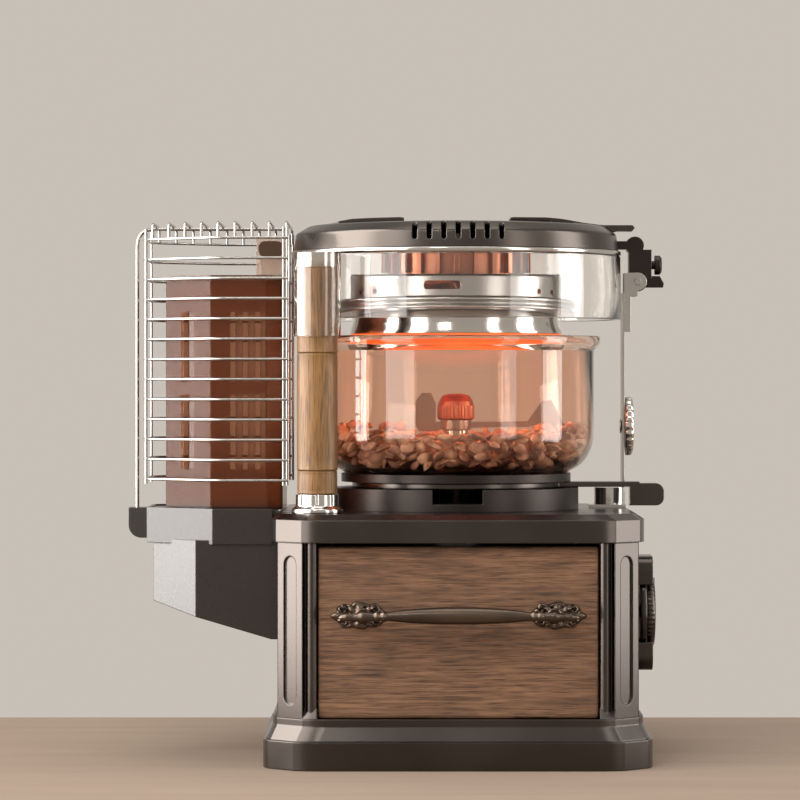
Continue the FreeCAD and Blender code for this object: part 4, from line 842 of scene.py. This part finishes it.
class ROASTER_OT_heater(bpy.types.Operator):
    """The heater head: its band with holes and a slot, its pinched flange and its flared
    reflector, each a closed outline, turned."""

    bl_idname = "roaster.heater"
    bl_label = "Heater head"

    def execute(self, context):
        band = rounded([(5, 292.95), (64.2, 292.95), (65, 292), (65, 281.4), (73.2, 281),
                        (74, 280), (74, 279), (71.6, 278.2), (71.4, 277), (73.4, 276.3),
                        (74, 275.4), (73.6, 274.5), (60.2, 274.5), (60, 281), (63, 282),
                        (63, 291), (5, 291)], 0.5, 3)
        head = piece("heater_band", [turned(band, steps=224)], "lid", ["heater_housing"])
        bores = []
        for x in (-58.0, -49.6, 49.6, 58.0):
            bore = rounded([(1.25, -70), (1.25, 70)], 0, 2, False)
            bores.append(turned(bore, (x, 0, 284.4), "y", 20, wrap=False))
        bores.append(block((-20, 2), (-70, -55), (285.0, 289.4), 1.6, 4))
        pierced(head, bores)
        flare = rounded([(60, 274.5), (62, 274.5), (62.6, 270), (63.6, 265), (65.2, 259.5),
                         (65.2, 258), (62.8, 258), (61.4, 265), (60.4, 270)], 0.8, 3)
        piece("flare", [turned(flare, steps=224)], "lid", ["reflector"], finish="chrome")
        return {"FINISHED"}


# Chaff collector

class ROASTER_OT_cage(bpy.types.Operator):
    """The wire cage: thirteen bent rows, uprights, crown wires with legs, and the hoop that
    stands in the socket, each a round wire carried along a line with rounded bends."""

    bl_idname = "roaster.cage"
    bl_label = "Wire cage"

    def execute(self, context):
        wire = context.scene.roaster_sizes.wire / MM
        bend_x, far_x, top_row, pitch, crown = -146.2, -191, 315.6, 12.16, 325
        plan = [(-101.5, -65), (bend_x, -65), (far_x, -29), (far_x, 29), (bend_x, 65),
                (-101.5, 65)]
        bent = self.finer(rounded(plan, [0, 9, 12, 12, 9, 0], 6, False))
        parts = []
        for row in range(13):
            level = np.full((len(bent), 1), top_row - pitch * row)
            parts.append(carried(np.concatenate([bent, level], 1), wire, (0, 0, 1)))
        stands = [(-102.3 - shift, side * 63.5) for shift in (0, 2.2) for side in (-1, 1)]
        stands += [(-189.5, side * 26) for side in (-1, 1)]
        for x, y in stands:
            z = np.linspace(166.7, 322, 24)
            parts.append(carried(np.stack([0 * z + x, 0 * z + y, z], 1), wire))
        crown_x = np.linspace(-185, -102.8, 9)
        reach = np.where(crown_x < bend_x, 29 + (crown_x - far_x) * 36 / 44.8 - 2.3, 63.1)
        for x, half in zip(crown_x, reach):
            legs = [(x, -half, top_row), (x, -half, crown), (x, half, crown), (x, half, top_row)]
            parts.append(carried(self.finer(rounded(legs, [0, 3.5, 3.5, 0], 5, False)), wire,
                                 (1, 0, 0)))
        hoop = [(-196.5, 0, 140), (-196.5, 0, 323.05), (-104.3, 0, 323.05)]
        parts.append(carried(self.finer(rounded(hoop, [0, 11, 0], 8, False)), 1.1, (0, 1, 0), 14))
        piece("cage", parts, "chaff_collector", ["cage_wires"], finish="wire", sharp=60)
        return {"FINISHED"}

    def finer(self, line):
        """The line with the middle of each run added, so that bends keep their width."""
        middles = (line[1:] + line[:-1]) / 2
        both = np.empty((len(line) + len(middles), line.shape[1]))
        both[0::2], both[1::2] = line, middles
        return both


# Stage

def lamp(name, place, target, size, power, colour, shows="both"):
    """A rectangular soft lamp that faces a point, and lights matt surfaces, gloss or both."""
    data = bpy.data.lights.new(name, "AREA")
    data.shape, data.size, data.size_y = "RECTANGLE", size[0], size[1]
    data.energy, data.color = power, colour
    thing = placed(name, data)
    thing.location = place
    away = np.array(place, float) - np.array(target, float)
    flat = math.hypot(away[0], away[1])
    thing.rotation_euler = (math.atan2(flat, away[2]), 0, math.atan2(away[0], -away[1]))
    thing.visible_camera = False
    thing.visible_glossy = thing.visible_transmission = shows != "diffuse"
    thing.visible_diffuse = shows != "glossy"


class ROASTER_OT_stage(bpy.types.Operator):
    """A plain table, a plain wall colour, soft lamps and the camera at the picture's angle."""

    bl_idname = "roaster.stage"
    bl_label = "Stage"

    def execute(self, context):
        stage = context.scene.roaster_stage
        finish = Nodes("table")
        finish.set(Roughness=0.5, Specular_IOR_Level=0.0)
        streak = finish.noise(finish.scaled(0.12, 1, 1), 26.0, 4.0, 0.6, 0.4)
        tone = finish.ramp(streak, "Fac", [(0.3, shade(stage.table, 0.93)),
                                           (0.7, shade(stage.table, 1.05))])
        finish.join(tone, "Color", finish.shader, "Base Color")
        finish.relief(streak, "Fac", 0.1, 0.0003)
        table = [(-1300, -1500), (1300, -1500), (1300, 254), (-1300, 254)]
        mesh = mesh_of("table", [stacked(table, [(4, -30), (0, -27), (0, -3), (3, 0)], 4, 3)])
        mesh.materials.append(finish.material)
        placed("table", mesh)

        world = bpy.data.worlds.new("room")
        context.scene.world = world
        world.use_nodes = True
        tree = world.node_tree
        tree.nodes.clear()
        output = tree.nodes.new("ShaderNodeOutputWorld")
        mix = tree.nodes.new("ShaderNodeMixShader")
        room, wall = (tree.nodes.new("ShaderNodeBackground") for _ in range(2))
        room.inputs["Color"].default_value = (1.0, 0.97, 0.94, 1)
        room.inputs["Strength"].default_value = stage.room
        wall.inputs["Color"].default_value = (*stage.wall, 1)
        rays = tree.nodes.new("ShaderNodeLightPath")
        first, second = (tree.nodes.new("ShaderNodeMath") for _ in range(2))
        first.operation = second.operation = "MAXIMUM"
        tree.links.new(rays.outputs["Is Camera Ray"], first.inputs[0])
        tree.links.new(rays.outputs["Is Glossy Ray"], first.inputs[1])
        tree.links.new(first.outputs[0], second.inputs[0])
        tree.links.new(rays.outputs["Is Transmission Ray"], second.inputs[1])
        tree.links.new(second.outputs[0], mix.inputs[0])
        tree.links.new(room.outputs[0], mix.inputs[1])
        tree.links.new(wall.outputs[0], mix.inputs[2])
        tree.links.new(mix.outputs[0], output.inputs["Surface"])

        middle, soft = (-0.03, 0, 0.17), (1, 0.97, 0.94)
        lamp("key", (-1.35, -0.7, 0.7), middle, (0.9, 1.0), stage.key, (1, 0.96, 0.91), "diffuse")
        lamp("fill", (1.35, -0.6, 0.5), middle, (0.8, 0.9), stage.fill, soft, "diffuse")
        lamp("card_left", (-0.8, -0.1, 0.75), (0, -0.1, 0.75), (0.7, 1.5), stage.card_left, soft,
             "glossy")
        lamp("window_left", (-0.78, -0.72, 0.75), (0, 0, 0.75), (0.5, 1.5), stage.window, soft,
             "glossy")
        lamp("window_right", (0.72, -0.8, 0.75), (0, 0, 0.75), (0.24, 1.5), stage.window * 0.33,
             soft, "glossy")
        lamp("card_right", (0.8, -0.1, 0.42), (0, -0.08, 0.4), (0.3, 0.84), stage.card_right,
             (1, 0.98, 0.96), "glossy")
        lamp("front", (-0.4, -1.55, 1.35), middle, (1.3, 0.9), stage.front, soft, "diffuse")
        lamp("front_card", (-0.3, -1.2, 1.1), middle, (0.25, 0.2), stage.front_card, soft,
             "glossy")
        lamp("top", (0.0, 0.0, 1.5), middle, (1.0, 0.8), stage.top, soft)
        warm = bpy.data.lights.new("glow", "POINT")
        warm.energy, warm.color, warm.shadow_soft_size = stage.warm, (1, 0.3, 0.1), 0.03
        glow = placed("glow", warm)
        glow.location = (0, 0, 0.244)
        glow.visible_camera = glow.visible_glossy = glow.visible_transmission = False

        data = bpy.data.cameras.new("camera")
        data.lens, data.sensor_width, data.sensor_fit = 175.0, 36.0, "HORIZONTAL"
        data.shift_y = -0.025
        data.clip_start, data.clip_end = 0.05, 50
        camera = placed("camera", data)
        camera.location = (-0.0345, -2.4, 0.230)
        camera.rotation_euler = (math.radians(90), 0, 0)
        context.scene.camera = camera
        context.scene.view_settings.view_transform = "Standard"
        return {"FINISHED"}


# Panel, registration and the run

PIECES = (ROASTER_OT_finishes, ROASTER_OT_drawer_front, ROASTER_OT_handle, ROASTER_OT_pot,
          ROASTER_OT_stirrer, ROASTER_OT_beans, ROASTER_OT_pillar, ROASTER_OT_stay_knob,
          ROASTER_OT_control_knob, ROASTER_OT_lid, ROASTER_OT_heater, ROASTER_OT_cage,
          ROASTER_OT_stage)
SETTINGS = (RoasterColours, RoasterSizes, RoasterStageSettings)


class ROASTER_PT_pieces(bpy.types.Panel):
    """Lists the roaster's settings and pieces."""

    bl_idname = "ROASTER_PT_pieces"
    bl_label = "Coffee bean roaster"
    bl_space_type = "VIEW_3D"
    bl_region_type = "UI"
    bl_category = "Roaster"

    def draw(self, context):
        for group in (context.scene.roaster_colours, context.scene.roaster_sizes,
                      context.scene.roaster_stage):
            box = self.layout.box()
            for name in group.__annotations__:
                box.prop(group, name)
        for operator in PIECES:
            self.layout.operator(operator.bl_idname)


def register():
    """Adds the settings, the operators and the panel."""
    for kind in SETTINGS + PIECES + (ROASTER_PT_pieces,):
        bpy.utils.register_class(kind)
    bpy.types.Scene.roaster_colours = bpy.props.PointerProperty(type=RoasterColours)
    bpy.types.Scene.roaster_sizes = bpy.props.PointerProperty(type=RoasterSizes)
    bpy.types.Scene.roaster_stage = bpy.props.PointerProperty(type=RoasterStageSettings)


def unregister():
    """Takes away what register adds."""
    del bpy.types.Scene.roaster_stage
    del bpy.types.Scene.roaster_sizes
    del bpy.types.Scene.roaster_colours
    for kind in reversed(SETTINGS + PIECES + (ROASTER_PT_pieces,)):
        bpy.utils.unregister_class(kind)


def corners(box):
    """A box's two corners as plain numbers."""
    return [[float(value) for value in corner] for corner in box]


def main():
    """Runs every operator in order."""
    register()
    for operator in PIECES:
        group, name = operator.bl_idname.split(".")
        getattr(getattr(bpy.ops, group), name)()


if __name__ == "__main__":
    main()
